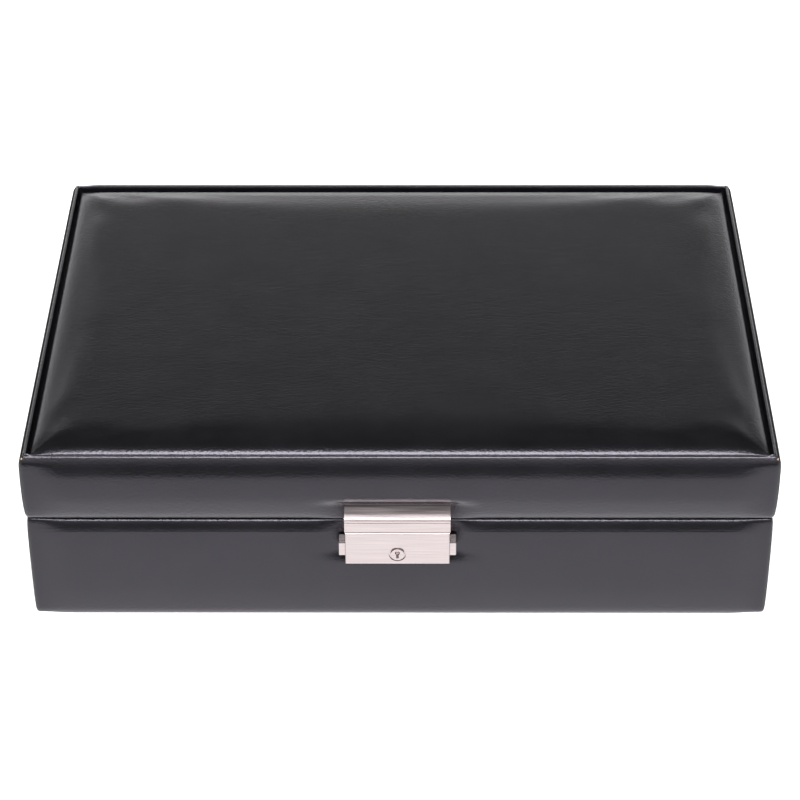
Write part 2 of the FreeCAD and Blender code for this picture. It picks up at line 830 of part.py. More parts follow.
def lock_back_plate():
    half = lock_width / 2 - lock_wall - lock_plate_gap
    low = lock_under + lock_wall + lock_plate_gap
    high = lock_top - lock_wall - lock_plate_gap
    plate = wide(half, (lock_plate_front, lock_back), (low, high))
    rail_x = bolt_half_width + bolt_rail_overlap
    rail_y = (bolt_front, lock_plate_front)
    low_rail = wide(rail_x, rail_y, (bolt_under - bolt_gap - bolt_rail, bolt_under - bolt_gap))
    high_rail = wide(rail_x, rail_y, (bolt_arm_top + bolt_gap, bolt_arm_top + bolt_gap + bolt_rail))
    plate = fuse(plate, low_rail, high_rail)
    return cut(hook_way(at_lock(plate)), *lock_screws())


def button():
    """The right-hand button: head, retaining flange, bar below the hook, column and latch nose."""
    half = lock_width / 2
    flange_x = half - lock_wall - button_gap
    tip = half + button_proud
    latch_y = (latch_front, latch_back)
    head = block((flange_x - button_flange_width, tip), (button_front, button_back),
                 (button_under, button_top))
    head = rounded(head, button_edge_radius, lambda e: in_plane(e, 0, tip))
    core = block((half, tip - button_groove_depth), (button_front, button_back),
                 (button_under + button_groove_depth, button_top - button_groove_depth))
    for place in button_groove_places:
        groove_front = button_front + place
        groove = block((half, tip + 1), (groove_front, groove_front + button_groove_width),
                       (button_under - 1, button_top + 1))
        head = head.cut(groove.cut(core))
    flange = block((flange_x - button_flange_width, flange_x), (latch_front, button_back),
                   (button_under - button_flange, button_top + button_flange))
    bar = block((latch_inner, flange_x), latch_y, (latch_bar_top - latch_bar, latch_bar_top))
    column = block((latch_inner, latch_inner + latch_column), latch_y, (latch_bar_top - latch_bar, latch_top))
    nose = block((latch_inner, latch_tip), latch_y, (latch_nose_under, latch_top))
    nose = nose.makeChamfer(
        latch_engagement,
        [e for e in nose.Edges if in_plane(e, 0, latch_tip) and in_plane(e, 2, latch_top)],
    )
    return at_lock(fuse(head, flange, bar, column, nose))


def button_spring():
    """The right-hand spring, drawn as a plain sleeve, from the post to the button's column."""
    span = (spring_post_width / 2, latch_inner)
    y = (latch_front + latch_back) / 2
    return at_lock(
        rod_x(spring_radius, span, y, latch_nose_under - spring_wire).cut(
            rod_x(spring_radius - spring_wire, span, y, latch_nose_under - spring_wire)
        )
    )


def key_plug():
    face = rod_y(plug_radius, 0, (lock_front - plug_proud, lock_inner_front), plug_z)
    flange = rod_y(plug_radius + plug_flange, 0, (latch_front, latch_back), plug_z)
    core = rod_y(plug_radius, 0, (lock_inner_front, latch_front), plug_z)
    pin = rod_y(drive_pin_radius, 0, (latch_back, bolt_back), plug_z + drive_pin_throw)
    deep = (lock_front - plug_proud - 1, lock_front - plug_proud + keyway_depth)
    slot = wide(keyway_width / 2, deep, (plug_z - keyway_height / 2, plug_z + keyway_height / 2))
    eye = rod_y(keyway_eye_radius, 0, deep, plug_z + keyway_height / 2 - keyway_eye_radius)
    return at_lock(cut(fuse(face, core, flange, pin), slot, eye))


def lock_bolt():
    """The dead bolt: a plate driven by the plug's pin, with an arm that slides over a hook's foot."""
    deep = (bolt_front, bolt_back)
    plate = wide(bolt_half_width, deep, (bolt_under, bolt_arm_top))
    arm = block((0, bolt_tip), deep, (latch_nose_under, bolt_arm_top))
    # a steady bolt lags the pin's sine by at most this share of the throw
    lag = drive_pin_throw * (math.sqrt(1 - (2 / math.pi) ** 2) - math.acos(2 / math.pi) * 2 / math.pi)
    reach = drive_pin_radius + drive_pin_gap
    slot = block(
        (-reach, reach + lag),
        (bolt_front - 1, bolt_back + 1),
        (plug_z - reach, plug_z + drive_pin_throw + reach),
    )
    return at_lock(cut(fuse(plate, arm), slot))


def lock_parts():
    right = button()
    spring = button_spring()

    def opposite(shape):
        return moved(mirrored(shape), x=2 * lock_x)

    return {
        "lock_case": lock_case(),
        "lock_back_plate": lock_back_plate(),
        "lock_button_left": opposite(right),
        "lock_button_right": right,
        "button_spring_left": opposite(spring),
        "button_spring_right": spring,
        "key_plug": key_plug(),
        "lock_bolt": lock_bolt(),
        "catch_plate": catch_plate(),
        "catch_hooks": group(catch_hooks()),
        "catch_rivets": group(catch_rivets()),
    }


def hinge_parts():
    centres = hinge_centres()
    return {
        "hinge_leaves_base": group([hinge_leaf_piece(x, "base") for x in centres]),
        "hinge_leaves_lid": group([hinge_leaf_piece(x, "lid") for x in centres]),
        "hinge_pins": group([hinge_pin(x) for x in centres]),
        "hinge_screws_base": group(hinge_screws("base")),
        "hinge_screws_lid": group(hinge_screws("lid")),
    }


def main():
    os.makedirs("parts", exist_ok=True)
    pieces = {
        **base_parts(),
        **tray_parts(),
        **drawer_front_parts(),
        **drawer_box_parts(),
        **lid_parts(),
        **lock_parts(),
        **hinge_parts(),
    }
    for name, shape in pieces.items():
        shape.exportStep(f"parts/{name}.step")
        print(f"{name}: {len(shape.Solids)} solid(s), {shape.Volume:.1f} mm3, valid {shape.isValid()}")
    print(len(pieces), "nodes")


main()
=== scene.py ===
# %% [markdown]
# # A black leather cufflink box with a drawer
# The real box is thin board covered in leather: a padded lid on two hinges, a tray of small cells,
# and a drawer whose front is the whole front wall, with a nickel lock on it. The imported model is
# opened first and never moved. Every piece made here is drawn in place, in metres, and then rides
# on the body that carries it.

import bmesh
import bpy
import json
import math
import numpy as np
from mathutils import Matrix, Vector, noise


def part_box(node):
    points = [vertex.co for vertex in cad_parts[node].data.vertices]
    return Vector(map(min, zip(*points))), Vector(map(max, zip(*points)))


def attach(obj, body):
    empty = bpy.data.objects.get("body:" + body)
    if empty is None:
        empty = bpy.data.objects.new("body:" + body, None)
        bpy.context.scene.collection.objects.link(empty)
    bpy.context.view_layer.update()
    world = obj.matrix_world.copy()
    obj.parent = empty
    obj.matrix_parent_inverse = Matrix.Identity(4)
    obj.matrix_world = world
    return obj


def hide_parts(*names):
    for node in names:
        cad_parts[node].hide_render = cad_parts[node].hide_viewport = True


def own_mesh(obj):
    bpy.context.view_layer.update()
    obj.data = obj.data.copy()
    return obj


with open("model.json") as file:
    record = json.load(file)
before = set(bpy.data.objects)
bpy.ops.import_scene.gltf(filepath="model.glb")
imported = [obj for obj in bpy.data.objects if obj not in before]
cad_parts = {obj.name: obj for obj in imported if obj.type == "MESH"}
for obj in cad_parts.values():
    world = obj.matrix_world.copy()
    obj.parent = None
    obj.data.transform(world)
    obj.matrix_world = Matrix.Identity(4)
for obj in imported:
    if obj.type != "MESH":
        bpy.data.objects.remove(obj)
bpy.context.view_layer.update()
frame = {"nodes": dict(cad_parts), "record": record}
MM = 0.001

# %% [markdown]
# ## The camera
# The camera looks down over the front edge, a little to the right of the middle. Its lens is long,
# which keeps the perspective gentle. The place and the tilt were solved from the box's own straight
# edges, so the lens needs no shift.

# %% The camera
IMAGE_WIDTH = 800
FOCAL_PIXELS = 2666.057
CAMERA_PLACE = (0.0056993, -0.8686987, 0.6502276)
CAMERA_TURN = (54.479358, 0.171950, 0.278692)
lens = bpy.data.cameras.new("studio_camera")
lens.sensor_width = 36.0
lens.lens = FOCAL_PIXELS * lens.sensor_width / IMAGE_WIDTH
camera = bpy.data.objects.new("studio_camera", lens)
camera.location = CAMERA_PLACE
camera.rotation_euler = [math.radians(angle) for angle in CAMERA_TURN]
bpy.context.scene.collection.objects.link(camera)
bpy.context.scene.camera = camera
print("lens, mm:", round(lens.lens, 1))

# %% [markdown]
# ## The room and the lamp
# Black leather shows little but what it mirrors, so the room matters more than the lamp. Its back
# is bright just above the table and falls off upwards. Its front is bright low down and dark at
# eye level. One wide soft lamp hangs above, a little towards the front. The room is drawn on the
# world by height, with a ramp each for its front, its back, its sides and the corners of its back.
# A ramp needs no image, and each band can be moved alone.

# %% The room and the lamp
def linked(tree, kind, **settings):
    """A new shader node with its settings and its unlinked inputs filled in."""
    node = tree.nodes.new(kind)
    for name, value in settings.items():
        if hasattr(node, name):
            setattr(node, name, value)
        else:
            node.inputs[name.replace("_", " ")].default_value = value
    return node


def fill_ramp(node, stops):
    """Sets a colour ramp to grey stops, each a place from 0 to 1 and a brightness."""
    ramp = node.color_ramp
    while len(ramp.elements) > 1:
        ramp.elements.remove(ramp.elements[-1])
    for count, (place, grey) in enumerate(stops):
        stop = ramp.elements[0] if count == 0 else ramp.elements.new(place)
        stop.position = place
        stop.color = (grey, grey, grey, 1.0)


def by_height(elevation):
    """Where a height above the horizon, in degrees, lies on the room's ramps."""
    return 0.5 + 0.5 * math.sin(math.radians(elevation))


def share_between(tree, value, low, high):
    """Rises from 0 to 1 as a value goes from low to high."""
    share = linked(tree, "ShaderNodeMapRange", From_Min=low, From_Max=high)
    tree.links.new(value, share.inputs["Value"])
    return share.outputs[0]


def blended(tree, factor, first, second):
    """Goes from one colour to another as the factor goes from 0 to 1."""
    mix = linked(tree, "ShaderNodeMix", data_type="RGBA")
    tree.links.new(factor, mix.inputs["Factor"])
    tree.links.new(first, mix.inputs[6])
    tree.links.new(second, mix.inputs[7])
    return mix.outputs[2]


# Each stop is a height above the horizon, in degrees, and a brightness.
ROOM_BRIGHTEST = 4.0
ROOM_BACK = [
    (-90, 1.0), (-50, 0.7), (-25, 0.45), (-5, 0.12), (0, 2.3), (9, 2.3), (14, 1.8), (20, 1.1),
    (26, 0.5), (30, 0.26), (33, 0.15), (36, 0.1), (42, 0.06), (60, 0.04), (90, 0.04),
]
ROOM_CORNERS = [(-90, 0.6), (-60, 0.2), (-45, 0.03), (-2, 0.02)] + ROOM_BACK[4:]
ROOM_FRONT = [
    (-90, 3.0), (-75, 2.9), (-60, 2.5), (-52, 2.15), (-46, 1.95), (-40, 1.8), (-26, 1.85),
    (-21, 1.4), (-17, 0.85), (-14, 0.46), (-9, 0.22), (-2, 0.11), (3, 0.2), (9, 0.43), (16, 0.65),
    (23, 0.9), (31, 1.1), (45, 1.2), (60, 0.3), (90, 0.05),
]
ROOM_SIDES = [
    (-90, 2.0), (-40, 1.5), (-20, 1.0), (-5, 0.6), (0, 1.0), (20, 1.0), (32, 0.6), (50, 0.2), (90, 0.06),
]
room = bpy.data.worlds.new("studio_room")
bpy.context.scene.world = room
room.use_nodes = True
room_tree = room.node_tree
direction = linked(room_tree, "ShaderNodeTexCoord")
parts = linked(room_tree, "ShaderNodeSeparateXYZ")
room_tree.links.new(direction.outputs["Generated"], parts.inputs[0])
up_the_wall = share_between(room_tree, parts.outputs["Z"], -1.0, 1.0)
sideways = linked(room_tree, "ShaderNodeMath", operation="ABSOLUTE")
room_tree.links.new(parts.outputs["X"], sideways.inputs[0])


def room_wall(stops):
    """The brightness of one wall of the room, by height."""
    ramp = linked(room_tree, "ShaderNodeValToRGB")
    fill_ramp(ramp, [(by_height(elevation), grey / ROOM_BRIGHTEST) for elevation, grey in stops])
    room_tree.links.new(up_the_wall, ramp.inputs[0])
    return ramp.outputs[0]


to_back = share_between(room_tree, parts.outputs["Y"], 0.0, 0.4)
to_corner = share_between(room_tree, sideways.outputs[0], 0.26, 0.38)
to_side = share_between(room_tree, sideways.outputs[0], 0.6, 0.8)
back_wall = blended(room_tree, to_corner, room_wall(ROOM_BACK), room_wall(ROOM_CORNERS))
front_and_back = blended(room_tree, to_back, room_wall(ROOM_FRONT), back_wall)
all_round = blended(room_tree, to_side, front_and_back, room_wall(ROOM_SIDES))
room_light = room_tree.nodes["Background"]
room_tree.links.new(all_round, room_light.inputs["Color"])
room_light.inputs["Strength"].default_value = ROOM_BRIGHTEST

LAMP_SIZE = (0.75, 0.65)
LAMP_WATTS = 25.0
LAMP_PLACE = (0.0, -0.5, 1.0)
LAMP_TILT = 28.0
lamp_data = bpy.data.lights.new("soft_lamp", "AREA")
lamp_data.shape = "RECTANGLE"
lamp_data.size, lamp_data.size_y = LAMP_SIZE
lamp_data.energy = LAMP_WATTS
lamp = bpy.data.objects.new("soft_lamp", lamp_data)
lamp.location = LAMP_PLACE
lamp.rotation_euler = (math.radians(LAMP_TILT), 0.0, 0.0)
bpy.context.scene.collection.objects.link(lamp)
bpy.context.scene.view_settings.view_transform = "Standard"
print("lamp, W:", lamp_data.energy)

# %% [markdown]
# ## The table top
# The box stands on a plain white sheet that glows a little, as on a light table. Leather doesn't
# mirror the sheet here: it mirrors the lower half of the room's ramps, where the brightness can
# fall off with distance.

# %% The table top
def make_piece(name, points, faces, finish):
    """A mesh object from points in metres, with its material."""
    mesh = bpy.data.meshes.new(name)
    mesh.from_pydata([tuple(point) for point in points], [], [tuple(face) for face in faces])
    mesh.update()
    mesh.materials.append(finish)
    piece = bpy.data.objects.new(name, mesh)
    bpy.context.scene.collection.objects.link(piece)
    return piece


def new_finish(name):
    """An empty material: its tree, its shader and its object coordinates."""
    finish = bpy.data.materials.new(name)
    finish.use_nodes = True
    tree = finish.node_tree
    shader = tree.nodes["Principled BSDF"]
    place = linked(tree, "ShaderNodeTexCoord")
    return finish, tree, shader, place.outputs["Object"]


def grey_noise(tree, place, scale, detail=2.0, low=0.0, high=1.0):
    """Noise in object space, stretched to run from low to high."""
    grain = linked(tree, "ShaderNodeTexNoise", Scale=scale, Detail=detail)
    tree.links.new(place, grain.inputs["Vector"])
    spread = linked(tree, "ShaderNodeMapRange", From_Min=0.3, From_Max=0.7, To_Min=low, To_Max=high)
    tree.links.new(grain.outputs["Fac"], spread.inputs["Value"])
    return spread.outputs[0]


def tinted(tree, factor, dark, light, shader):
    """Mixes two colours by a factor into the shader's base colour."""
    mix = linked(tree, "ShaderNodeMix", data_type="RGBA")
    mix.inputs[6].default_value = (*dark, 1.0)
    mix.inputs[7].default_value = (*light, 1.0)
    tree.links.new(factor, mix.inputs["Factor"])
    tree.links.new(mix.outputs[2], shader.inputs["Base Color"])


def raised(tree, heights, shader, depth):
    """A bump on the shader from one height field, its depth in metres."""
    bump = linked(tree, "ShaderNodeBump", Distance=depth)
    tree.links.new(heights, bump.inputs["Height"])
    tree.links.new(bump.outputs[0], shader.inputs["Normal"])


def table_finish():
    finish, tree, shader, place = new_finish("white_sheet")
    tinted(tree, grey_noise(tree, place, 6.0), (0.85, 0.85, 0.855), (0.87, 0.87, 0.875), shader)
    raised(tree, grey_noise(tree, place, 900.0), shader, 0.00002)
    shader.inputs["Roughness"].default_value = 0.9
    shader.inputs["Specular IOR Level"].default_value = 0.2
    shader.inputs["Emission Color"].default_value = (1.0, 1.0, 1.0, 1.0)
    shader.inputs["Emission Strength"].default_value = 0.3
    return finish


TABLE_HALF = 3.0
TABLE_STEPS = 12
table_line = [-TABLE_HALF + 2 * TABLE_HALF * n / TABLE_STEPS for n in range(TABLE_STEPS + 1)]
table_points = [(x, y, 0.0) for y in table_line for x in table_line]
table_faces = [
    (row + n, row + n + 1, row + n + TABLE_STEPS + 2, row + n + TABLE_STEPS + 1)
    for row in range(0, TABLE_STEPS * (TABLE_STEPS + 1), TABLE_STEPS + 1)
    for n in range(TABLE_STEPS)
]
table_top = make_piece("white_table", table_points, table_faces, table_finish())
table_top.visible_glossy = False
print("table, m:", [round(v, 2) for v in table_top.dimensions])

# %% [markdown]
# ## Black leather
# The cover is thin corrected leather: a fine pebble about 0.8 mm across, soft shine, and almost
# no colour of its own. The pebble is a cell pattern with its borders pressed in, bent by a little
# noise so the cells aren't even. A wide, weak noise makes the shine and the colour drift, as they
# do on a hide. All of it lives in object space, so it needs no unwrapping and its scale is real.

# %% Black leather
PEBBLES_PER_METRE = 1300.0
PEBBLE_DEPTH = 0.000045
PEBBLE_BEND = 0.0006


def leather_finish(name, dark, light, roughness):
    finish, tree, shader, place = new_finish(name)
    wander = linked(tree, "ShaderNodeTexNoise", Scale=420.0, Detail=2.0)
    tree.links.new(place, wander.inputs["Vector"])
    bend = linked(tree, "ShaderNodeVectorMath", operation="MULTIPLY_ADD")
    bend.inputs[1].default_value = (PEBBLE_BEND, PEBBLE_BEND, PEBBLE_BEND)
    tree.links.new(wander.outputs["Color"], bend.inputs[0])
    tree.links.new(place, bend.inputs[2])
    pebble = linked(tree, "ShaderNodeTexVoronoi", Scale=PEBBLES_PER_METRE, feature="SMOOTH_F1")
    tree.links.new(bend.outputs[0], pebble.inputs["Vector"])
    crown = linked(tree, "ShaderNodeMapRange", From_Min=0.1, From_Max=0.75, To_Min=1.0, To_Max=0.0)
    tree.links.new(pebble.outputs["Distance"], crown.inputs["Value"])
    pores = grey_noise(tree, place, 3200.0, low=0.0, high=0.35)
    height = linked(tree, "ShaderNodeMath", operation="SUBTRACT")
    tree.links.new(crown.outputs[0], height.inputs[0])
    tree.links.new(pores, height.inputs[1])
    raised(tree, height.outputs[0], shader, PEBBLE_DEPTH)
    tinted(tree, grey_noise(tree, place, 55.0), dark, light, shader)
    shine = grey_noise(tree, place, 140.0, low=roughness - 0.015, high=roughness + 0.015)
    tree.links.new(shine, shader.inputs["Roughness"])
    shader.inputs["Specular IOR Level"].default_value = 0.5
    shader.inputs["Specular Tint"].default_value = (0.91, 0.86, 1.0, 1.0)
    return finish


BLACK_LEATHER = leather_finish("black_leather", (0.0022, 0.0022, 0.0026), (0.0038, 0.0037, 0.0044), 0.25)
print("leather's pebble, mm:", round(1000 / PEBBLES_PER_METRE, 2))

# %% [markdown]
# ## Velvet, felt, nickel, steel and board
# Velvet is a dark cloth whose short pile catches light at a grazing angle, which is what sheen
# does. Its nap lies this way and that, so a noise varies its colour. Felt is flatter, with a
# matted bump. The nickel of the lock is satin: it was brushed along its width, so its grain is
# noise drawn out along X, and it mirrors more in one direction than in the other. The drawer's
# and the shelf's boards are papered. The others are raw, or stained black where a wide cut edge
# shows.

# %% Velvet, felt, nickel, steel and board
def pile_finish(name, dark, light, sheen, bump):
    finish, tree, shader, place = new_finish(name)
    brushed = grey_noise(tree, place, 45.0, detail=3.0)
    tinted(tree, brushed, dark, light, shader)
    raised(tree, grey_noise(tree, place, 2600.0, detail=3.0), shader, bump)
    shader.inputs["Roughness"].default_value = 0.95
    shader.inputs["Specular IOR Level"].default_value = 0.1
    shader.inputs["Sheen Weight"].default_value = sheen
    shader.inputs["Sheen Roughness"].default_value = 0.35
    return finish


BRUSHED_ALONG_X = (18.0, 1100.0, 1100.0)
BRUSH_DEPTH = 0.000012


def brushed_finish(name, dark, light, roughness, anisotropic):
    finish, tree, shader, place = new_finish(name)
    drawn = linked(tree, "ShaderNodeMapping", vector_type="POINT")
    drawn.inputs["Scale"].default_value = BRUSHED_ALONG_X
    tree.links.new(place, drawn.inputs["Vector"])
    lines = grey_noise(tree, drawn.outputs[0], 3.0, detail=3.0)
    tinted(tree, lines, dark, light, shader)
    shine = linked(tree, "ShaderNodeMapRange", To_Min=roughness - 0.05, To_Max=roughness + 0.06)
    tree.links.new(lines, shine.inputs["Value"])
    tree.links.new(shine.outputs[0], shader.inputs["Roughness"])
    raised(tree, lines, shader, BRUSH_DEPTH)
    shader.inputs["Metallic"].default_value = 1.0
    shader.inputs["Anisotropic"].default_value = anisotropic
    across = linked(tree, "ShaderNodeTangent", direction_type="RADIAL", axis="X")
    tree.links.new(across.outputs[0], shader.inputs["Tangent"])
    return finish


def board_finish(name, dark, light, roughness, scale, bump):
    finish, tree, shader, place = new_finish(name)
    tinted(tree, grey_noise(tree, place, scale, detail=4.0), dark, light, shader)
    raised(tree, grey_noise(tree, place, scale * 4.0, detail=3.0), shader, bump)
    shine = grey_noise(tree, place, scale, low=roughness - 0.05, high=roughness + 0.05)
    tree.links.new(shine, shader.inputs["Roughness"])
    return finish


BLACK_VELVET = pile_finish("black_velvet", (0.010, 0.010, 0.011), (0.019, 0.019, 0.021), 0.5, 0.00012)
BLACK_FELT = pile_finish("black_felt", (0.02, 0.02, 0.022), (0.034, 0.034, 0.037), 0.2, 0.0002)
SATIN_NICKEL = brushed_finish("satin_nickel", (0.44, 0.385, 0.385), (0.57, 0.5, 0.5), 0.35, 0.5)
PLAIN_STEEL = brushed_finish("plain_steel", (0.45, 0.45, 0.46), (0.58, 0.58, 0.59), 0.32, 0.2)
RAW_BOARD = board_finish("raw_board", (0.32, 0.22, 0.14), (0.42, 0.30, 0.20), 0.8, 350.0, 0.00006)
STAINED_BOARD = board_finish(
    "stained_board", (0.011, 0.0105, 0.010), (0.022, 0.020, 0.019), 0.75, 350.0, 0.00006
)
PAPERED_BOARD = board_finish(
    "papered_board", (0.013, 0.013, 0.014), (0.02, 0.02, 0.021), 0.6, 600.0, 0.00004
)
FOAM = board_finish("cream_foam", (0.66, 0.62, 0.5), (0.76, 0.73, 0.62), 0.9, 1400.0, 0.0003)
CAD_FINISHES = {
    "black_leather": BLACK_LEATHER,
    "black_velvet": BLACK_VELVET,
    "foam": FOAM,
    "felt": BLACK_FELT,
    "board": RAW_BOARD,
    "covered_board": PAPERED_BOARD,
    "satin_nickel": SATIN_NICKEL,
    "steel": PLAIN_STEEL,
}
for part in frame["record"]["subparts"]:
    node = frame["nodes"][part["node"]]
    node.data.materials.clear()
    node.data.materials.append(CAD_FINISHES[part["material_slot"]])
OPEN_EDGES = ("base_side_left", "base_side_right", "base_back", "tray_front_board", "drawer_front_board")
for name in OPEN_EDGES:
    frame["nodes"][name].data.materials[0] = STAINED_BOARD
print("finishes:", sorted(CAD_FINISHES))

# %% [markdown]
# ## How a leather cover is drawn
# A covered wall has the same side view all the way round: over the edge, down the face and under.
# So the cover is a side view swept along the wall. Each place on the way keeps its own side view,
# because the padding is full in the middle of a wall and tight at a corner. An outline is
# a list of stations, and a side view is a closed list of (offset outward, height).

# %% Outlines
# A corner's place to the right and to the back, and the angle at which its arc starts.
CORNERS = {
    "front_left": (-1, -1, 180),
    "front_right": (1, -1, 270),
    "back_right": (1, 1, 0),
    "back_left": (-1, 1, 90),
}
SIDES = {
    "front": ("front_left", "front_right", 270),
    "right": ("front_right", "back_right", 0),
    "back": ("back_right", "back_left", 90),
    "left": ("back_left", "front_left", 180),
}
CORNER_STEPS = 8
TIGHT_CORNER = 0.35 * MM
STATION_STEP = 5.0 * MM
NEAR_CORNER = [0.0, 1.0, 2.0, 3.0, 4.5, 6.0, 8.0, 10.0, 12.0, 14.5, 17.0, 20.0]


class Outline:
    """A rectangle with rounded corners, in plan, followed along some or all of its walls.

    Where cut_y is given, the two side walls stop there, at their front or their back end.
    """

    def __init__(self, half_x, front, back, radius, route, cut_y=None, cut_end="back"):
        self.half_x = half_x
        self.front = front
        self.back = back
        self.radius = radius
        self.cut_y = cut_y
        self.cut_walls = () if cut_y is None else ("left", "right")
        self.cut_end = cut_end
        self.stations = []
        for name in route:
            if name in CORNERS:
                self.stations += [(name, part / CORNER_STEPS) for part in range(1, CORNER_STEPS)]
            else:
                self.stations += [(name, share) for share in self.shares(name)]

    def corner_centre(self, name, offset):
        sign_x, sign_y, _ = CORNERS[name]
        radius = max(self.radius + offset, TIGHT_CORNER)
        x = sign_x * (self.half_x + offset - radius)
        y = self.back + offset - radius if sign_y > 0 else self.front - offset + radius
        return x, y, radius

    def side_ends(self, name, offset):
        first, last, angle = SIDES[name]
        out = Vector((math.cos(math.radians(angle)), math.sin(math.radians(angle))))
        ends = []
        for corner in (first, last):
            x, y, radius = self.corner_centre(corner, offset)
            ends.append([x + out.x * radius, y + out.y * radius])
        if name in self.cut_walls:
            ends[self.loose_end(name)][1] = self.cut_y
        return ends

    def loose_end(self, name):
        """Which end of a cut wall, 0 or 1, has no corner."""
        return 0 if (name == "left") == (self.cut_end == "back") else 1

    def length(self, name):
        first, last = self.side_ends(name, 0.0)
        return math.hypot(last[0] - first[0], last[1] - first[1])

    def shares(self, name):
        """Stations along a wall, as shares of its length: close together near its ends."""
        length = self.length(name)
        near = [d * MM for d in NEAR_CORNER if d * MM < length / 2]
        middle = max(1, round((length - 2 * near[-1]) / STATION_STEP))
        places = near + [near[-1] + (length - 2 * near[-1]) * n / middle for n in range(1, middle)]
        places += [length - d for d in reversed(near)]
        return [place / length for place in places]

    def reach(self, station):
        """How far a station is from the nearest corner."""
        name, share = station
        if name in CORNERS:
            return 0.0
        length = self.length(name)
        if name not in self.cut_walls:
            return min(share, 1.0 - share) * length
        return (share if self.loose_end(name) else 1.0 - share) * length

    def place(self, station, offset):
        name, share = station
        if name in CORNERS:
            x, y, radius = self.corner_centre(name, offset)
            angle = math.radians(CORNERS[name][2] + 90 * share)
            return x + radius * math.cos(angle), y + radius * math.sin(angle)
        first, last = self.side_ends(name, offset)
        return tuple(a + (b - a) * share for a, b in zip(first, last))


print("corners:", sorted(CORNERS))

# %% [markdown]
# ## Smooth lines and soft edges
# A side view is given by a few points, and a smooth line through them makes the roll that padding
# has. A bevel would give every edge one radius, while points let each edge have its own. Shading
# is smooth except where two faces meet sharply, so a fold stays crisp and a roll stays soft.

# %% Smooth lines, shading and sweeping
def eased(value, low, high):
    """Rises smoothly from 0 at low to 1 at high; value may be a number or an array."""
    share = np.clip((value - low) / (high - low), 0.0, 1.0)
    return share * share * (3 - 2 * share)


def curved(points, steps=4):
    """A smooth line through the points, with steps pieces between each two."""
    points = np.array(points, float)
    padded = np.vstack([2 * points[0] - points[1], points, 2 * points[-1] - points[-2]])
    line = []
    for a, b, c, d in zip(padded, padded[1:], padded[2:], padded[3:]):
        for n in range(steps):
            t = n / steps
            lower = 2 * b + (c - a) * t + (2 * a - 5 * b + 4 * c - d) * t * t
            line.append(0.5 * (lower + (3 * b - a - 3 * c + d) * t ** 3))
    line.append(points[-1])
    return np.array(line)


def shaded(piece, angle=38.0):
    """Smooth shading, with a crease wherever two faces meet at more than the angle."""
    shape = bmesh.new()
    shape.from_mesh(piece.data)
    bmesh.ops.recalc_face_normals(shape, faces=shape.faces)
    for face in shape.faces:
        face.smooth = True
    for edge in shape.edges:
        sharp = len(edge.link_faces) == 2 and edge.calc_face_angle(0.0) > math.radians(angle)
        edge.smooth = not sharp
    shape.to_mesh(piece.data)
    shape.free()
    return piece


def wrapped(name, outline, side_view, finish, closed):
    """Sweeps a side view, given for each station, round an outline."""
    points = []
    for station in outline.stations:
        for offset, height in side_view(station, outline.reach(station)):
            x, y = outline.place(station, offset)
            points.append((x, y, height))
    count = len(outline.stations)
    size = len(points) // count
    faces = []
    for i in range(count if closed else count - 1):
        near, far = i * size, (i + 1) % count * size
        for k in range(size):
            after = (k + 1) % size
            faces.append((near + k, far + k, far + after, near + after))
    if not closed:
        faces.append(tuple(range(size)))
        faces.append(tuple(reversed(range(len(points) - size, len(points)))))
    return shaded(make_piece(name, points, faces, finish))


def lifted(low_z, *lines):
    """Side-view points in millimetres, moved up to a piece's lowest point, in metres."""
    return [(offset * MM, low_z + height * MM) for line in lines for offset, height in line]


print("steps round a corner:", CORNER_STEPS)

# %% [markdown]
# ## Openings in the leather
# The hinge leaves and the lid's hooks need openings. They could be drawn into the sweep, with a
# second side view for each, but a cut with a plain box is exact and leaves the sweep simple.

# %% Openings in the leather
def bake(piece):
    """Applies every modifier on a piece to its mesh."""
    ready = piece.evaluated_get(bpy.context.evaluated_depsgraph_get())
    mesh = bpy.data.meshes.new_from_object(ready)
    piece.modifiers.clear()
    piece.data = mesh
    return piece


BOX_SIDES = [(0, 1, 3, 2), (4, 6, 7, 5), (0, 4, 5, 1), (2, 3, 7, 6), (0, 2, 6, 4), (1, 5, 7, 3)]


def cut_away(piece, cutters):
    """Cuts boxes, each a low and a high corner, from a closed piece."""
    for low, high in cutters:
        corners = [
            (x, y, z)
            for x in (low[0], high[0])
            for y in (low[1], high[1])
            for z in (low[2], high[2])
        ]
        tool = shaded(make_piece("cutter", corners, BOX_SIDES, piece.data.materials[0]))
        cut = piece.modifiers.new("cut", "BOOLEAN")
        cut.operation = "DIFFERENCE"
        cut.solver = "EXACT"
        cut.object = tool
        bake(piece)
        bpy.data.objects.remove(tool)
    return shaded(piece)


print("sides of a cutting box:", len(BOX_SIDES))

# %% [markdown]
# ## The lid's leather
# One hide covers the lid's outside, goes over the thin rim and down inside it. There is padding
# under it, so the front wall swells and rolls softly over the rim, and the others swell a little.
# At the corners the leather is pulled tight, and under the catch it is pressed flat. The front
# corners end in a small knot of folded leather. The lines below are in millimetres: the offset
# outward from the wall, and the height above the lid's lower edge.

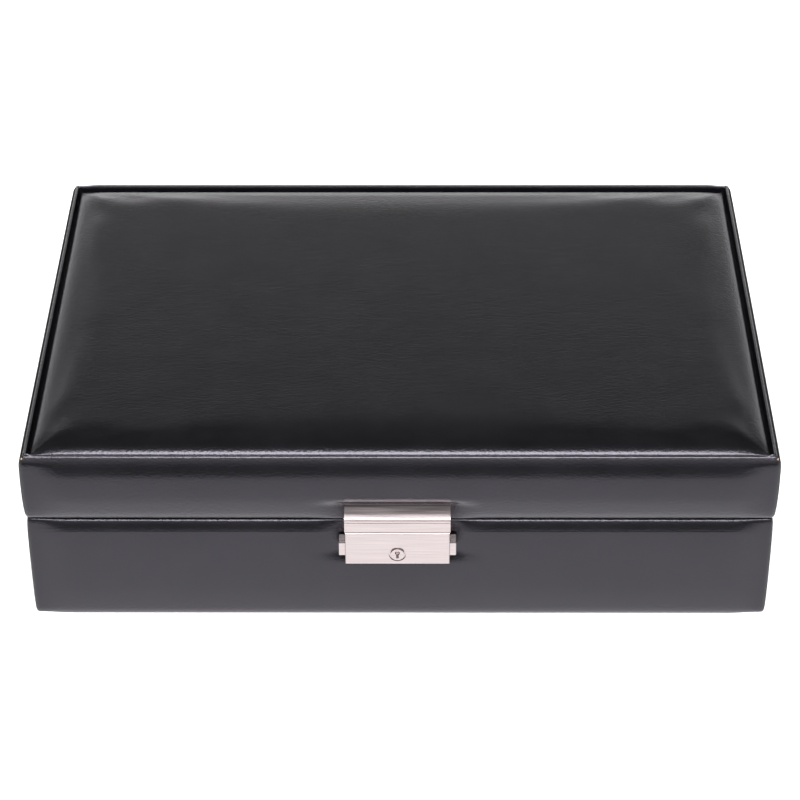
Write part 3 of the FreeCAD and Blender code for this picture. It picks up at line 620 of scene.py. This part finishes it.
# %% The lid's leather
lid_low, lid_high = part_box("lid_leather")
catch_low, catch_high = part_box("catch_plate")
lock_x = (catch_low.x + catch_high.x) / 2
LID_FULL = [
    (-1.6, 28.0), (-1.25, 27.97), (-0.95, 27.8), (-0.7, 27.5), (-0.3, 26.9), (0.15, 26.1), (0.6, 25.1),
    (1.0, 24.0), (1.37, 22.75), (1.7, 21.4), (1.93, 19.9), (2.08, 17.6), (2.16, 14.3), (2.08, 10.5),
    (1.66, 6.8), (1.1, 3.5), (0.42, 1.4), (-0.25, 0.35), (-1.1, 0.0),
]
LID_TIGHT = [
    (-1.9, 28.0), (-1.6, 27.9), (-1.3, 27.75), (-1.05, 27.55), (-0.75, 27.15), (-0.3, 26.5), (0.1, 25.7),
    (0.35, 24.6), (0.46, 23.0), (0.5, 21.6), (0.53, 19.9), (0.56, 17.6), (0.57, 14.3), (0.52, 10.5),
    (0.4, 6.8), (0.2, 3.6), (-0.1, 1.5), (-0.6, 0.4), (-1.2, 0.0),
]
BACK_CREST = [(-2.15, 28.0), (-1.85, 27.97), (-1.2, 27.87), (-0.65, 27.78), (-0.3, 27.6), (0.02, 27.15)]
CREST_ROWS = 24
LID_INSIDE = [
    (-6.8, 0.0), (-6.8, 0.8), (-0.8, 0.8), (-0.8, 27.2), (-1.6, 27.2), (-1.6, 22.02), (-6.0, 22.02),
    (-6.0, 22.4), (-2.4, 22.4), (-2.4, 26.4), (-2.38, 27.3), (-2.2, 27.8),
]
WALL_FULLNESS = {"front": 1.0, "left": 0.2, "right": 0.2, "back": 0.1}
lid_full = curved(LID_FULL)
lid_tight = curved(LID_TIGHT)
lid_back = curved(BACK_CREST + LID_TIGHT[len(BACK_CREST):])[:CREST_ROWS]
PRESSED_HALF = 20.5 * MM
PRESSED_FADE = 27.0 * MM
PRESSED_RISE = 3.5


def pressed_by_lock(outline, station, line, low_z, high_z):
    """Flattens a side view where the lock's metal lies on the leather."""
    x, _ = outline.place(station, 0.0)
    beside = 1.0 - eased(abs(x - lock_x), PRESSED_HALF, PRESSED_FADE)
    if station[0] != "front" or beside == 0.0:
        return line
    line = line.copy()
    for row in line:
        above = eased(row[1], low_z - PRESSED_RISE, low_z)
        level = above * (1.0 - eased(row[1], high_z, high_z + PRESSED_RISE))
        row[0] += (min(row[0], -0.02) - row[0]) * beside * level
    return line


CATCH_TOP = 6.9
KNOT_HEIGHT = 0.75
KNOT_ROWS = 6


def lid_side_view(station, reach):
    """The lid's side view at a station: full in the middle of a wall, tight at a corner."""
    wall = WALL_FULLNESS.get(station[0], 0.0)
    fullness = wall * eased(reach, 0.0, 15.0 * MM)
    line = lid_tight + (lid_full - lid_tight) * fullness
    if station[0] == "back":
        line = line.copy()
        line[:CREST_ROWS] += (lid_back - line[:CREST_ROWS]) * eased(reach, 1.0 * MM, 8.0 * MM)
    line = pressed_by_lock(lid_outline, station, line, -8.0, CATCH_TOP)
    if station[0].startswith("front_") or (station[0] == "front" and reach < 4 * MM):
        line = line.copy()
        line[:KNOT_ROWS, 1] += KNOT_HEIGHT * (1.0 - eased(reach, 0.2 * MM, 2.6 * MM))
    return lifted(lid_low.z, line, LID_INSIDE)


WRAP_RADIUS = 1.9 * MM
lid_outline = Outline(
    lid_high.x, lid_low.y, lid_high.y, WRAP_RADIUS,
    ["front", "front_right", "right", "back_right", "back", "back_left", "left", "front_left"],
)
lid_cover = wrapped("lid_leather_cover", lid_outline, lid_side_view, BLACK_LEATHER, closed=True)
hinge_low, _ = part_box("hinge_leaves_lid")
HINGE_X = 80.0 * MM
HINGE_HALF = 15.0 * MM
LEAF = 1.2 * MM


def hinge_recesses(low_z, high_z):
    """The two places let into a wall for the hinge leaves."""
    return [
        ((side * HINGE_X - HINGE_HALF, hinge_low.y, low_z), (side * HINGE_X + HINGE_HALF, 0.1, high_z))
        for side in (-1, 1)
    ]


cut_away(lid_cover, hinge_recesses(lid_low.z - MM, lid_low.z + LEAF))
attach(lid_cover, "lid")
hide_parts("lid_leather")
print("lid cover, mm:", [round(v / MM, 1) for v in lid_cover.dimensions])

# %% [markdown]
# ## The drawer front's leather
# The drawer front is the whole front wall below the lid. Its board is wrapped in foam and leather
# and the edges are turned in behind, so it is swept like the lid, along three walls only. Two
# notches, open at its top and its back, let the lid's hooks pass when the drawer slides out.

# %% The drawer front's leather
front_low, front_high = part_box("drawer_front_leather")
hook_low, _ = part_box("catch_hooks")
lining_low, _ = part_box("drawer_front_velvet")
case_low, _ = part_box("lock_case")
FRONT_FULL = [
    (-0.6, 43.56), (-0.3, 43.5), (-0.05, 43.33), (0.22, 43.08), (0.5, 42.62), (0.82, 41.9), (1.1, 41.1),
    (1.36, 40.2), (1.53, 39.4), (1.64, 38.4), (1.74, 33.0), (1.76, 28.0), (1.72, 20.0), (1.6, 12.0),
    (1.38, 7.0), (1.1, 3.0), (0.82, 0.8), (0.4, -0.55),
]
FRONT_TIGHT = [
    (-1.0, 43.6), (-0.75, 43.55), (-0.55, 43.42), (-0.35, 43.2), (-0.15, 42.75), (0.0, 41.9),
    (0.08, 40.8), (0.13, 39.6), (0.18, 38.2), (0.22, 36.6), (0.27, 33.0), (0.3, 28.0), (0.3, 20.0),
    (0.27, 12.0), (0.22, 7.0), (0.12, 3.0), (0.0, 0.8), (-0.25, -0.55),
]
ABOVE_THE_FRONT = 60.0
front_full = curved(FRONT_FULL)
front_tight = curved(FRONT_TIGHT)


def front_side_view(station, reach):
    """The drawer front's side view at a station; under the lock's case it is flat to the top."""
    fullness = eased(reach, 0.0, 13.0 * MM) if station[0] == "front" else 0.0
    line = front_tight + (front_full - front_tight) * fullness
    low = (case_low.z - front_low.z) / MM
    line = pressed_by_lock(front_outline, station, line, low, ABOVE_THE_FRONT)
    inner = -1.8 if station[0] == "front" else -0.8
    inside = [
        (-1.2, -0.6), (-1.2, 0.0), (-7.0, 0.0), (-7.0, 0.8),
        (inner, 0.8), (inner, 42.8), (-7.0, 42.8), (-7.0, 43.6),
    ]
    return lifted(front_low.z, line, inside)


front_outline = Outline(
    front_high.x, front_low.y, front_low.y + 16 * MM, 1.6 * MM,
    ["left", "front_left", "front", "front_right", "right"], cut_y=lining_low.y,
)
drawer_front_cover = wrapped(
    "drawer_front_cover", front_outline, front_side_view, BLACK_LEATHER, closed=False
)
NOTCH_HALF = 4.7 * MM / 2
NOTCH_MIDDLE = 11.55 * MM
hook_notches = [
    (
        (lock_x + side * NOTCH_MIDDLE - NOTCH_HALF, -0.11, hook_low.z - 0.3 * MM),
        (lock_x + side * NOTCH_MIDDLE + NOTCH_HALF, -0.08, 0.06),
    )
    for side in (-1, 1)
]
cut_away(drawer_front_cover, hook_notches)
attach(drawer_front_cover, "drawer")
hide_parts("drawer_front_leather", "drawer_front_foam")
print("front cover, mm:", [round(v / MM, 1) for v in drawer_front_cover.dimensions])

# %% [markdown]
# ## The base's leather
# Behind the drawer front, the base is covered on its two sides and its back. It has less padding
# than the lid, so its walls are nearly flat. It is the same sweep once more, open at the front.

# %% The base's leather
base_low, base_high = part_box("base_leather")
BASE_FULL = [
    (-1.1, 44.0), (-0.6, 43.92), (-0.25, 43.65), (0.0, 43.1), (0.25, 41.8), (0.5, 38.4), (0.62, 33.0),
    (0.65, 24.0), (0.6, 15.0), (0.45, 9.0), (0.25, 5.0), (0.05, 2.6), (-0.1, 1.2), (-0.3, 0.3),
    (-0.45, 0.0),
]
BASE_TIGHT = [
    (-1.1, 44.0), (-0.6, 43.92), (-0.3, 43.65), (-0.1, 43.1), (0.0, 41.8), (0.1, 38.4), (0.15, 33.0),
    (0.15, 24.0), (0.15, 15.0), (0.1, 9.0), (0.05, 5.0), (0.0, 2.6), (-0.1, 1.2), (-0.3, 0.3),
    (-0.45, 0.0),
]
BASE_INSIDE = [(-0.8, 0.0), (-0.8, 43.2), (-6.8, 43.2), (-6.8, 44.0)]
BASE_FULLNESS = {"left": 0.8, "right": 0.8, "back": 0.4}
base_full = curved(BASE_FULL)
base_tight = curved(BASE_TIGHT)


def base_side_view(station, reach):
    """The base's side view at a station; a side wall is tight at its open front end too."""
    ends = eased(reach, 0.0, 15.0 * MM)
    if station[0] in ("left", "right"):
        _, y = base_outline.place(station, 0.0)
        ends *= eased(y - base_low.y, 0.0, 10.0 * MM)
    wall = BASE_FULLNESS.get(station[0], 0.0)
    line = base_tight + (base_full - base_tight) * ends * wall
    return lifted(base_low.z, line, BASE_INSIDE)


base_outline = Outline(
    base_high.x, base_low.y, base_high.y, WRAP_RADIUS,
    ["right", "back_right", "back", "back_left", "left"], cut_y=base_low.y, cut_end="front",
)
base_cover = wrapped("base_leather_cover", base_outline, base_side_view, BLACK_LEATHER, closed=False)
cut_away(base_cover, hinge_recesses(base_high.z - LEAF, base_high.z + MM))
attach(base_cover, "base")
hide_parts("base_leather")
print("base cover, mm:", [round(v / MM, 1) for v in base_cover.dimensions])

# %% [markdown]
# ## Padded panels
# The cushion on the lid, the pad inside it and the small pads in the cells are all flat in the
# middle and roll down near their edges. One helper draws them on a net that is finer near the
# edges. A second one blows a panel up with cloth simulation, its tucked edge held, so that it lies
# as real padding does and not as a turned moulding. It caps the movement, so the size stays true.

# %% Helpers for padded panels
def spread_lines(low, high, near, step):
    """Places between two edges: close together near each edge and step apart in the middle."""
    length = high - low
    near = [d for d in near if d < 0.45 * length]
    count = max(1, round((length - 2 * near[-1]) / step))
    middle = [near[-1] + (length - 2 * near[-1]) * n / count for n in range(1, count)]
    return [low + place for place in near + middle + [length - d for d in reversed(near)]]


def rolled(distance, reach):
    """Height share of a rolled edge, from 0 at the edge to 1 where the roll ends."""
    share = min(1.0, max(0.0, distance / reach))
    return math.sqrt(1.0 - (1.0 - share) ** 2)


def panel_net(x_range, y_range, near, step):
    """A net over a panel: its points' x and y, its faces, and its edge in order."""
    xs = spread_lines(*x_range, near, step)
    ys = spread_lines(*y_range, near, step)
    wide, deep = len(xs), len(ys)
    places = [(x, y) for y in ys for x in xs]
    faces = [
        (row * wide + n, row * wide + n + 1, (row + 1) * wide + n + 1, (row + 1) * wide + n)
        for row in range(deep - 1)
        for n in range(wide - 1)
    ]
    edge = list(range(wide)) + [row * wide + wide - 1 for row in range(1, deep)]
    edge += [(deep - 1) * wide + n for n in range(wide - 2, -1, -1)]
    edge += [row * wide for row in range(deep - 2, 0, -1)]
    return places, faces, edge


PANEL_NEAR = [d * MM for d in (0.0, 0.3, 0.8, 1.5, 2.4, 3.4, 4.5, 5.8, 7.5, 10.0, 14.0)]


def padded_panel(name, x_range, y_range, foot, shoulder, top, roll, finish, step, near=PANEL_NEAR):
    """A padded panel: a skirt from foot to shoulder, then a roll up to a nearly flat top."""
    places, faces, edge = panel_net(x_range, y_range, near, step)
    points = []
    for x, y in places:
        across = rolled(min(x - x_range[0], x_range[1] - x), roll)
        along = rolled(min(y - y_range[0], y_range[1] - y), roll)
        points.append((x, y, shoulder + (top - shoulder) * across * along))
    count = len(places)
    points += [(x, y, foot) for x, y in places]
    faces += [tuple(count + n for n in reversed(face)) for face in faces]
    faces += [(first, count + first, count + last, last) for first, last in zip(edge, edge[1:] + edge[:1])]
    return shaded(make_piece(name, points, faces, finish), 70.0)


FRAMES = 20


def puffed(panel, held_below, pressure, cap):
    """Blows a panel up with cloth simulation, its points below a height held still."""
    before = np.array([vert.co for vert in panel.data.vertices], float)
    held = panel.vertex_groups.new(name="held")
    held.add([n for n, point in enumerate(before) if point[2] < held_below], 1.0, "REPLACE")
    cloth = panel.modifiers.new("cloth", "CLOTH")
    leather = cloth.settings
    leather.quality = 6
    leather.mass = 0.3
    leather.tension_stiffness = 25.0
    leather.compression_stiffness = 25.0
    leather.bending_stiffness = 2.0
    leather.use_pressure = True
    leather.uniform_pressure_force = pressure
    leather.vertex_group_mass = "held"
    leather.effector_weights.gravity = 0.0
    cloth.collision_settings.use_collision = False
    for step in range(1, FRAMES + 1):
        bpy.context.scene.frame_set(step)
    ready = panel.evaluated_get(bpy.context.evaluated_depsgraph_get())
    after = np.array([vert.co for vert in ready.data.vertices], float)
    panel.modifiers.clear()
    bpy.context.scene.frame_set(1)
    move = after - before
    length = np.linalg.norm(move, axis=1, keepdims=True)
    move *= np.minimum(1.0, cap / np.maximum(length, 1e-9))
    panel.data.vertices.foreach_set("co", (before + move).ravel())
    print(panel.name, "rose, mm:", round(float(move[:, 2].max()) / MM, 2))
    return panel


def subdivided(piece):
    """Divides every face in four and smooths the piece."""
    smooth = piece.modifiers.new("smooth", "SUBSURF")
    smooth.levels = 1
    smooth.render_levels = 1
    return bake(piece)


print("finest step at a panel's edge, mm:", round(PANEL_NEAR[1] / MM, 1))

# %% [markdown]
# ## The lid's cushion
# The top of the lid is a board with foam on it, and the leather is drawn over the foam and tucked
# down inside the rim, so its corners are round. It is stretched tight: the modelled roll gives
# nearly all of its shape, and the simulation moves no point by more than 0.35 mm.

# %% The lid's cushion
CUSHION_ROLL = 12.0 * MM
CUSHION_CAP = 0.35 * MM
cushion_low, cushion_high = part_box("lid_cushion")
lid_cushion = padded_panel(
    "lid_cushion_cover",
    (cushion_low.x - 0.45 * MM, cushion_high.x + 0.45 * MM),
    (cushion_low.y - 0.3 * MM, cushion_high.y - 0.6 * MM),
    cushion_low.z + 0.45 * MM, cushion_high.z - 4.1 * MM, cushion_high.z - 1.0 * MM,
    CUSHION_ROLL, BLACK_LEATHER, step=6 * MM,
)
puffed(lid_cushion, cushion_high.z - 4.0 * MM, 3.0, CUSHION_CAP)
subdivided(lid_cushion)
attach(lid_cushion, "lid")
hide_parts("lid_cushion", "lid_cushion_foam")
print("cushion, mm:", [round(v / MM, 1) for v in lid_cushion.dimensions])

# %% [markdown]
# ## The velvet inside
# The inside walls are velvet on thin card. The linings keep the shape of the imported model, so they
# are taken from it: its triangles are joined back into flat faces and the edges are rounded, since
# cloth over card has no sharp edge. The felt runners and the felt foot are made the same way.

# %% Softened copies of the linings
def softened(node, name, finish, radius, body):
    """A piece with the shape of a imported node, its edges rounded, that stands for the node."""
    piece = frame["nodes"][node].copy()
    piece.data = piece.data.copy()
    piece.name = name
    piece.parent = None
    for key in list(piece.keys()):
        del piece[key]
    bpy.context.scene.collection.objects.link(piece)
    piece.data.materials.clear()
    piece.data.materials.append(finish)
    shape = bmesh.new()
    shape.from_mesh(piece.data)
    bmesh.ops.remove_doubles(shape, verts=shape.verts, dist=0.002 * MM)
    bmesh.ops.dissolve_limit(
        shape, angle_limit=math.radians(3.0), verts=shape.verts, edges=shape.edges, delimit=set()
    )
    sharp = [edge for edge in shape.edges if len(edge.link_faces) == 2 and edge.calc_face_angle(0) > 0.6]
    bmesh.ops.bevel(
        shape, geom=sharp, offset=radius, offset_type="OFFSET", segments=2, profile=0.5, affect="EDGES",
        clamp_overlap=True,
    )
    shape.to_mesh(piece.data)
    shape.free()
    shaded(piece, 50.0)
    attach(piece, body)
    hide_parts(node)
    return piece


LININGS = [
    ("tray_front_velvet", "base"), ("tray_wall_velvet", "base"), ("lid_wall_velvet", "lid"),
    ("drawer_front_velvet", "drawer"), ("drawer_wall_velvet", "drawer"),
]
for node, body in LININGS:
    lining = softened(node, node + "_lining", BLACK_VELVET, 0.3 * MM, body)
    print(lining.name, len(lining.data.polygons), "faces")
runners = softened("drawer_runners", "felt_runners", BLACK_FELT, 0.15 * MM, "base")
foot = softened("foot_sheet", "felt_foot", BLACK_FELT, 0.35 * MM, "base")
for felt in (runners, foot):
    print(felt.name, len(felt.data.polygons), "faces")

# %% [markdown]
# ## The cells' floor pads
# Twenty-four small pads fill the tray's cells and six fill the drawer's. Each is a crowned wafer
# of foam under velvet. They are too small for a simulation to show, so the roll alone shapes them.

# %% The cells' floor pads
def cell_edges(low, high, count, thickness):
    """Low and high limits of equal cells between dividers."""
    size = (high - low - (count - 1) * thickness) / count
    return [(low + n * (size + thickness), low + n * (size + thickness) + size) for n in range(count)]


def joined(name, pieces):
    """Joins pieces into one object that keeps the first one's material."""
    shape = bmesh.new()
    for piece in pieces:
        shape.from_mesh(piece.data)
    mesh = bpy.data.meshes.new(name)
    shape.to_mesh(mesh)
    shape.free()
    mesh.materials.append(pieces[0].data.materials[0])
    for piece in pieces:
        bpy.data.objects.remove(piece)
    whole = bpy.data.objects.new(name, mesh)
    bpy.context.scene.collection.objects.link(whole)
    return whole


PAD_NEAR = [d * MM for d in (0.0, 0.3, 0.8, 1.6, 2.8, 4.5, 7.0)]
PAD_GAP = 0.15 * MM
PAD_CROWN = 0.8 * MM
DIVIDER = 3.0 * MM


def cell_pads(name, node, columns, rows):
    """One crowned pad in each cell of a room, in place of the node's plain sheet."""
    low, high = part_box(node)
    pads = []
    for row, (y_low, y_high) in enumerate(cell_edges(low.y, high.y, rows, DIVIDER)):
        for column, (x_low, x_high) in enumerate(cell_edges(low.x, high.x, columns, DIVIDER)):
            pad = padded_panel(
                f"{name}_{row}_{column}",
                (x_low + PAD_GAP, x_high - PAD_GAP), (y_low + PAD_GAP, y_high - PAD_GAP),
                low.z, high.z - PAD_CROWN, high.z, 7.0 * MM, BLACK_VELVET, step=6 * MM, near=PAD_NEAR,
            )
            pads.append(pad)
    return shaded(joined(name, pads), 60.0)


CELLS = [
    ("tray_cell_pads", "tray_floor_pad", 6, 4, "base"),
    ("drawer_cell_pads", "drawer_floor_pad", 3, 2, "drawer"),
]
for name, node, columns, rows, body in CELLS:
    floor = cell_pads(name, node, columns, rows)
    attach(floor, body)
    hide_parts(node)
    print(name, len(floor.data.polygons), "faces")

# %% [markdown]
# ## The dividers
# The dividers are card wrapped in velvet with a rounded top, and they cross in halving joints, so
# at a crossing the two tops meet at one height. Each is one section drawn out along its length.

# %% The dividers
# Shares of half the thickness, and millimetres below the top.
DIVIDER_ROUND = [(1.0, 1.2), (0.92, 0.7), (0.7, 0.3), (0.35, 0.06)]


def divider_bar(name, start, end, floor, top, along_x):
    """A velvet-wrapped strip between two points in plan, with a rounded top."""
    half = DIVIDER / 2
    left = [(-half * share, top - drop * MM) for share, drop in DIVIDER_ROUND]
    right = [(half * share, top - drop * MM) for share, drop in reversed(DIVIDER_ROUND)]
    section = [(-half, floor), *left, (0.0, top), *right, (half, floor)]
    points = []
    for x, y in (start, end):
        for out, z in section:
            points.append((x, y + out, z) if along_x else (x + out, y, z))
    size = len(section)
    faces = [(n, n + 1, size + n + 1, size + n) for n in range(size - 1)]
    faces += [(size - 1, 0, size, 2 * size - 1), tuple(range(size)), tuple(range(2 * size - 1, size - 1, -1))]
    return make_piece(name, points, faces, BLACK_VELVET)


def divider_set(name, node, room, count, along_x):
    """All dividers between a room's count of rows or columns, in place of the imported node."""
    low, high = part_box(node)
    room_low, room_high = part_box(room)
    limits = (room_low.y, room_high.y) if along_x else (room_low.x, room_high.x)
    bars = []
    for n, (_, edge) in enumerate(cell_edges(*limits, count, DIVIDER)[:-1]):
        middle = edge + DIVIDER / 2
        ends = ((low.x, middle), (high.x, middle)) if along_x else ((middle, low.y), (middle, high.y))
        bars.append(divider_bar(f"{name}_{n}", *ends, low.z, high.z, along_x))
    return shaded(joined(name, bars), 35.0)


DIVIDERS = [
    ("tray_long_dividers", "tray_dividers_long", "tray_floor_pad", 4, True, "base"),
    ("tray_cross_dividers", "tray_dividers_cross", "tray_floor_pad", 6, False, "base"),
    ("drawer_long_divider", "drawer_divider_long", "drawer_floor_pad", 2, True, "drawer"),
    ("drawer_cross_dividers", "drawer_dividers_cross", "drawer_floor_pad", 3, False, "drawer"),
]
for name, node, room, count, along_x, body in DIVIDERS:
    bars = divider_set(name, node, room, count, along_x)
    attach(bars, body)
    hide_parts(node)
    print(name, len(bars.data.polygons), "faces")

# %% [markdown]
# ## The pad inside the lid
# The inside of the lid is a velvet-covered foam panel, the same kind as the cushion on top but
# thinner. It is made face up and then turned over, which is simpler than a second helper.

# %% The pad inside the lid
pad_low, pad_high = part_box("lid_lining_pad")
lid_pad = padded_panel(
    "lid_inside_pad", (pad_low.x, pad_high.x), (pad_low.y, pad_high.y),
    pad_low.z, pad_low.z + 1.2 * MM, pad_high.z - 0.3 * MM, 9.0 * MM, BLACK_VELVET, step=7 * MM,
)
puffed(lid_pad, pad_low.z + 1.0 * MM, 2.0, 0.4 * MM)
for vert in lid_pad.data.vertices:
    vert.co.z = pad_low.z + pad_high.z - vert.co.z
subdivided(shaded(lid_pad, 60.0))
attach(lid_pad, "lid")
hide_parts("lid_lining_pad")
print("lid pad, mm:", [round(v / MM, 1) for v in lid_pad.dimensions])

# %% [markdown]
# ## The buttons' springs
# Each side button is pushed out by a small coil spring. A coil is a tube along a helix whose end
# turns lie closer together.

# %% The buttons' springs
SPRING_TURNS = 6
SPRING_STEPS = 20
WIRE = 0.2 * MM
WIRE_SIDES = 8


def coil(name, start, end, centre_y, centre_z, radius):
    """A coil spring along X as a tube of wire."""
    count = SPRING_TURNS * SPRING_STEPS
    points = []
    for n in range(count + 1):
        share = n / count
        angle = 2 * math.pi * SPRING_TURNS * share
        closed = 0.5 - 0.5 * math.cos(math.pi * share)
        along = share * 0.7 + closed * 0.3
        out = Vector((0.0, math.cos(angle), math.sin(angle)))
        centre = Vector((
            start + (end - start) * along,
            centre_y + radius * math.cos(angle),
            centre_z + radius * math.sin(angle),
        ))
        for side in range(WIRE_SIDES):
            turn = side * math.pi / 4
            points.append(centre + WIRE * (out * math.cos(turn) + Vector((math.sin(turn), 0, 0))))
    faces = [
        (8 * n + k, 8 * n + (k + 1) % 8, 8 * n + 8 + (k + 1) % 8, 8 * n + 8 + k)
        for n in range(count)
        for k in range(8)
    ]
    faces += [tuple(range(8)), tuple(range(len(points) - 1, len(points) - 9, -1))]
    return shaded(make_piece(name, points, faces, PLAIN_STEEL), 60.0)


for side, fixed_high in (("left", True), ("right", False)):
    low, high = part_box(f"button_spring_{side}")
    radius = (high.z - low.z) / 2 - WIRE
    spring = coil(
        f"button_coil_{side}", low.x + WIRE, high.x - WIRE, (low.y + high.y) / 2, (low.z + high.z) / 2, radius
    )
    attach(spring, "drawer")
    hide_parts(f"button_spring_{side}")
    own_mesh(spring)
    print(spring.name, "mm:", [round(v / MM, 1) for v in spring.dimensions])

# %% [markdown]
# ## The hinge screws
# The hinge screws are countersunk with a cross recess, which is what tells a screw from a rivet.
# The recess is modelled and not painted, because these screws can be seen from close by.

# %% The hinge screws
def cross_radius(angle, arm, half_wide):
    """How far a cross recess reaches in a direction."""
    turned = math.radians(abs((math.degrees(angle) + 45) % 90 - 45))
    return min(arm / math.cos(turned), half_wide / max(math.sin(turned), 1e-6))


def screw_head(name, x, y, z, up, head, shank, depth, length):
    """A countersunk screw with a cross recess; up is 1 or -1."""
    arm = 0.62 * head
    half_wide = 0.16 * head
    corner = math.atan2(half_wide, arm)
    between = (corner + math.pi / 4) / 2
    parts = (0.0, corner, between, math.pi / 4, math.pi / 2 - between, math.pi / 2 - corner)
    angles = [quarter * math.pi / 2 + part for quarter in range(4) for part in parts]
    rings = [
        [0.12 * head] * len(angles),
        [0.45 * cross_radius(a, arm, half_wide) + 0.1 * head for a in angles],
        [cross_radius(a, arm, half_wide) for a in angles],
        [head * 0.97] * len(angles),
        [head] * len(angles),
        [shank] * len(angles),
        [shank] * len(angles),
    ]
    drops = [0.55 * depth, 0.5 * depth, 0.0, 0.0, 0.05 * depth, depth, length]
    points = []
    for ring, drop in zip(rings, drops):
        for radius, angle in zip(ring, angles):
            points.append((x + radius * math.cos(angle), y + radius * math.sin(angle), z - up * drop))
    size = len(angles)
    faces = [
        (n * size + k, n * size + (k + 1) % size, (n + 1) * size + (k + 1) % size, (n + 1) * size + k)
        for n in range(len(rings) - 1)
        for k in range(size)
    ]
    faces += [tuple(range(size)), tuple(range(len(points) - 1, len(points) - size - 1, -1))]
    return make_piece(name, points, faces, PLAIN_STEEL)


SCREW_FROM_MIDDLE = 9.0 * MM
SCREW_HEAD = 1.6 * MM
SCREW_SHANK = 0.8 * MM
for node, body, up in (("hinge_screws_base", "base", 1), ("hinge_screws_lid", "lid", -1)):
    low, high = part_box(node)
    top = high.z if up > 0 else low.z
    screws = [
        screw_head(
            "screw", hinge * HINGE_X + side * SCREW_FROM_MIDDLE, (low.y + high.y) / 2, top, up,
            SCREW_HEAD, SCREW_SHANK, LEAF, high.z - low.z,
        )
        for hinge in (-1, 1)
        for side in (-1, 1)
    ]
    screws = shaded(joined(node + "_cross", screws), 35.0)
    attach(screws, body)
    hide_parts(node)
    print(screws.name, len(screws.data.polygons), "faces")
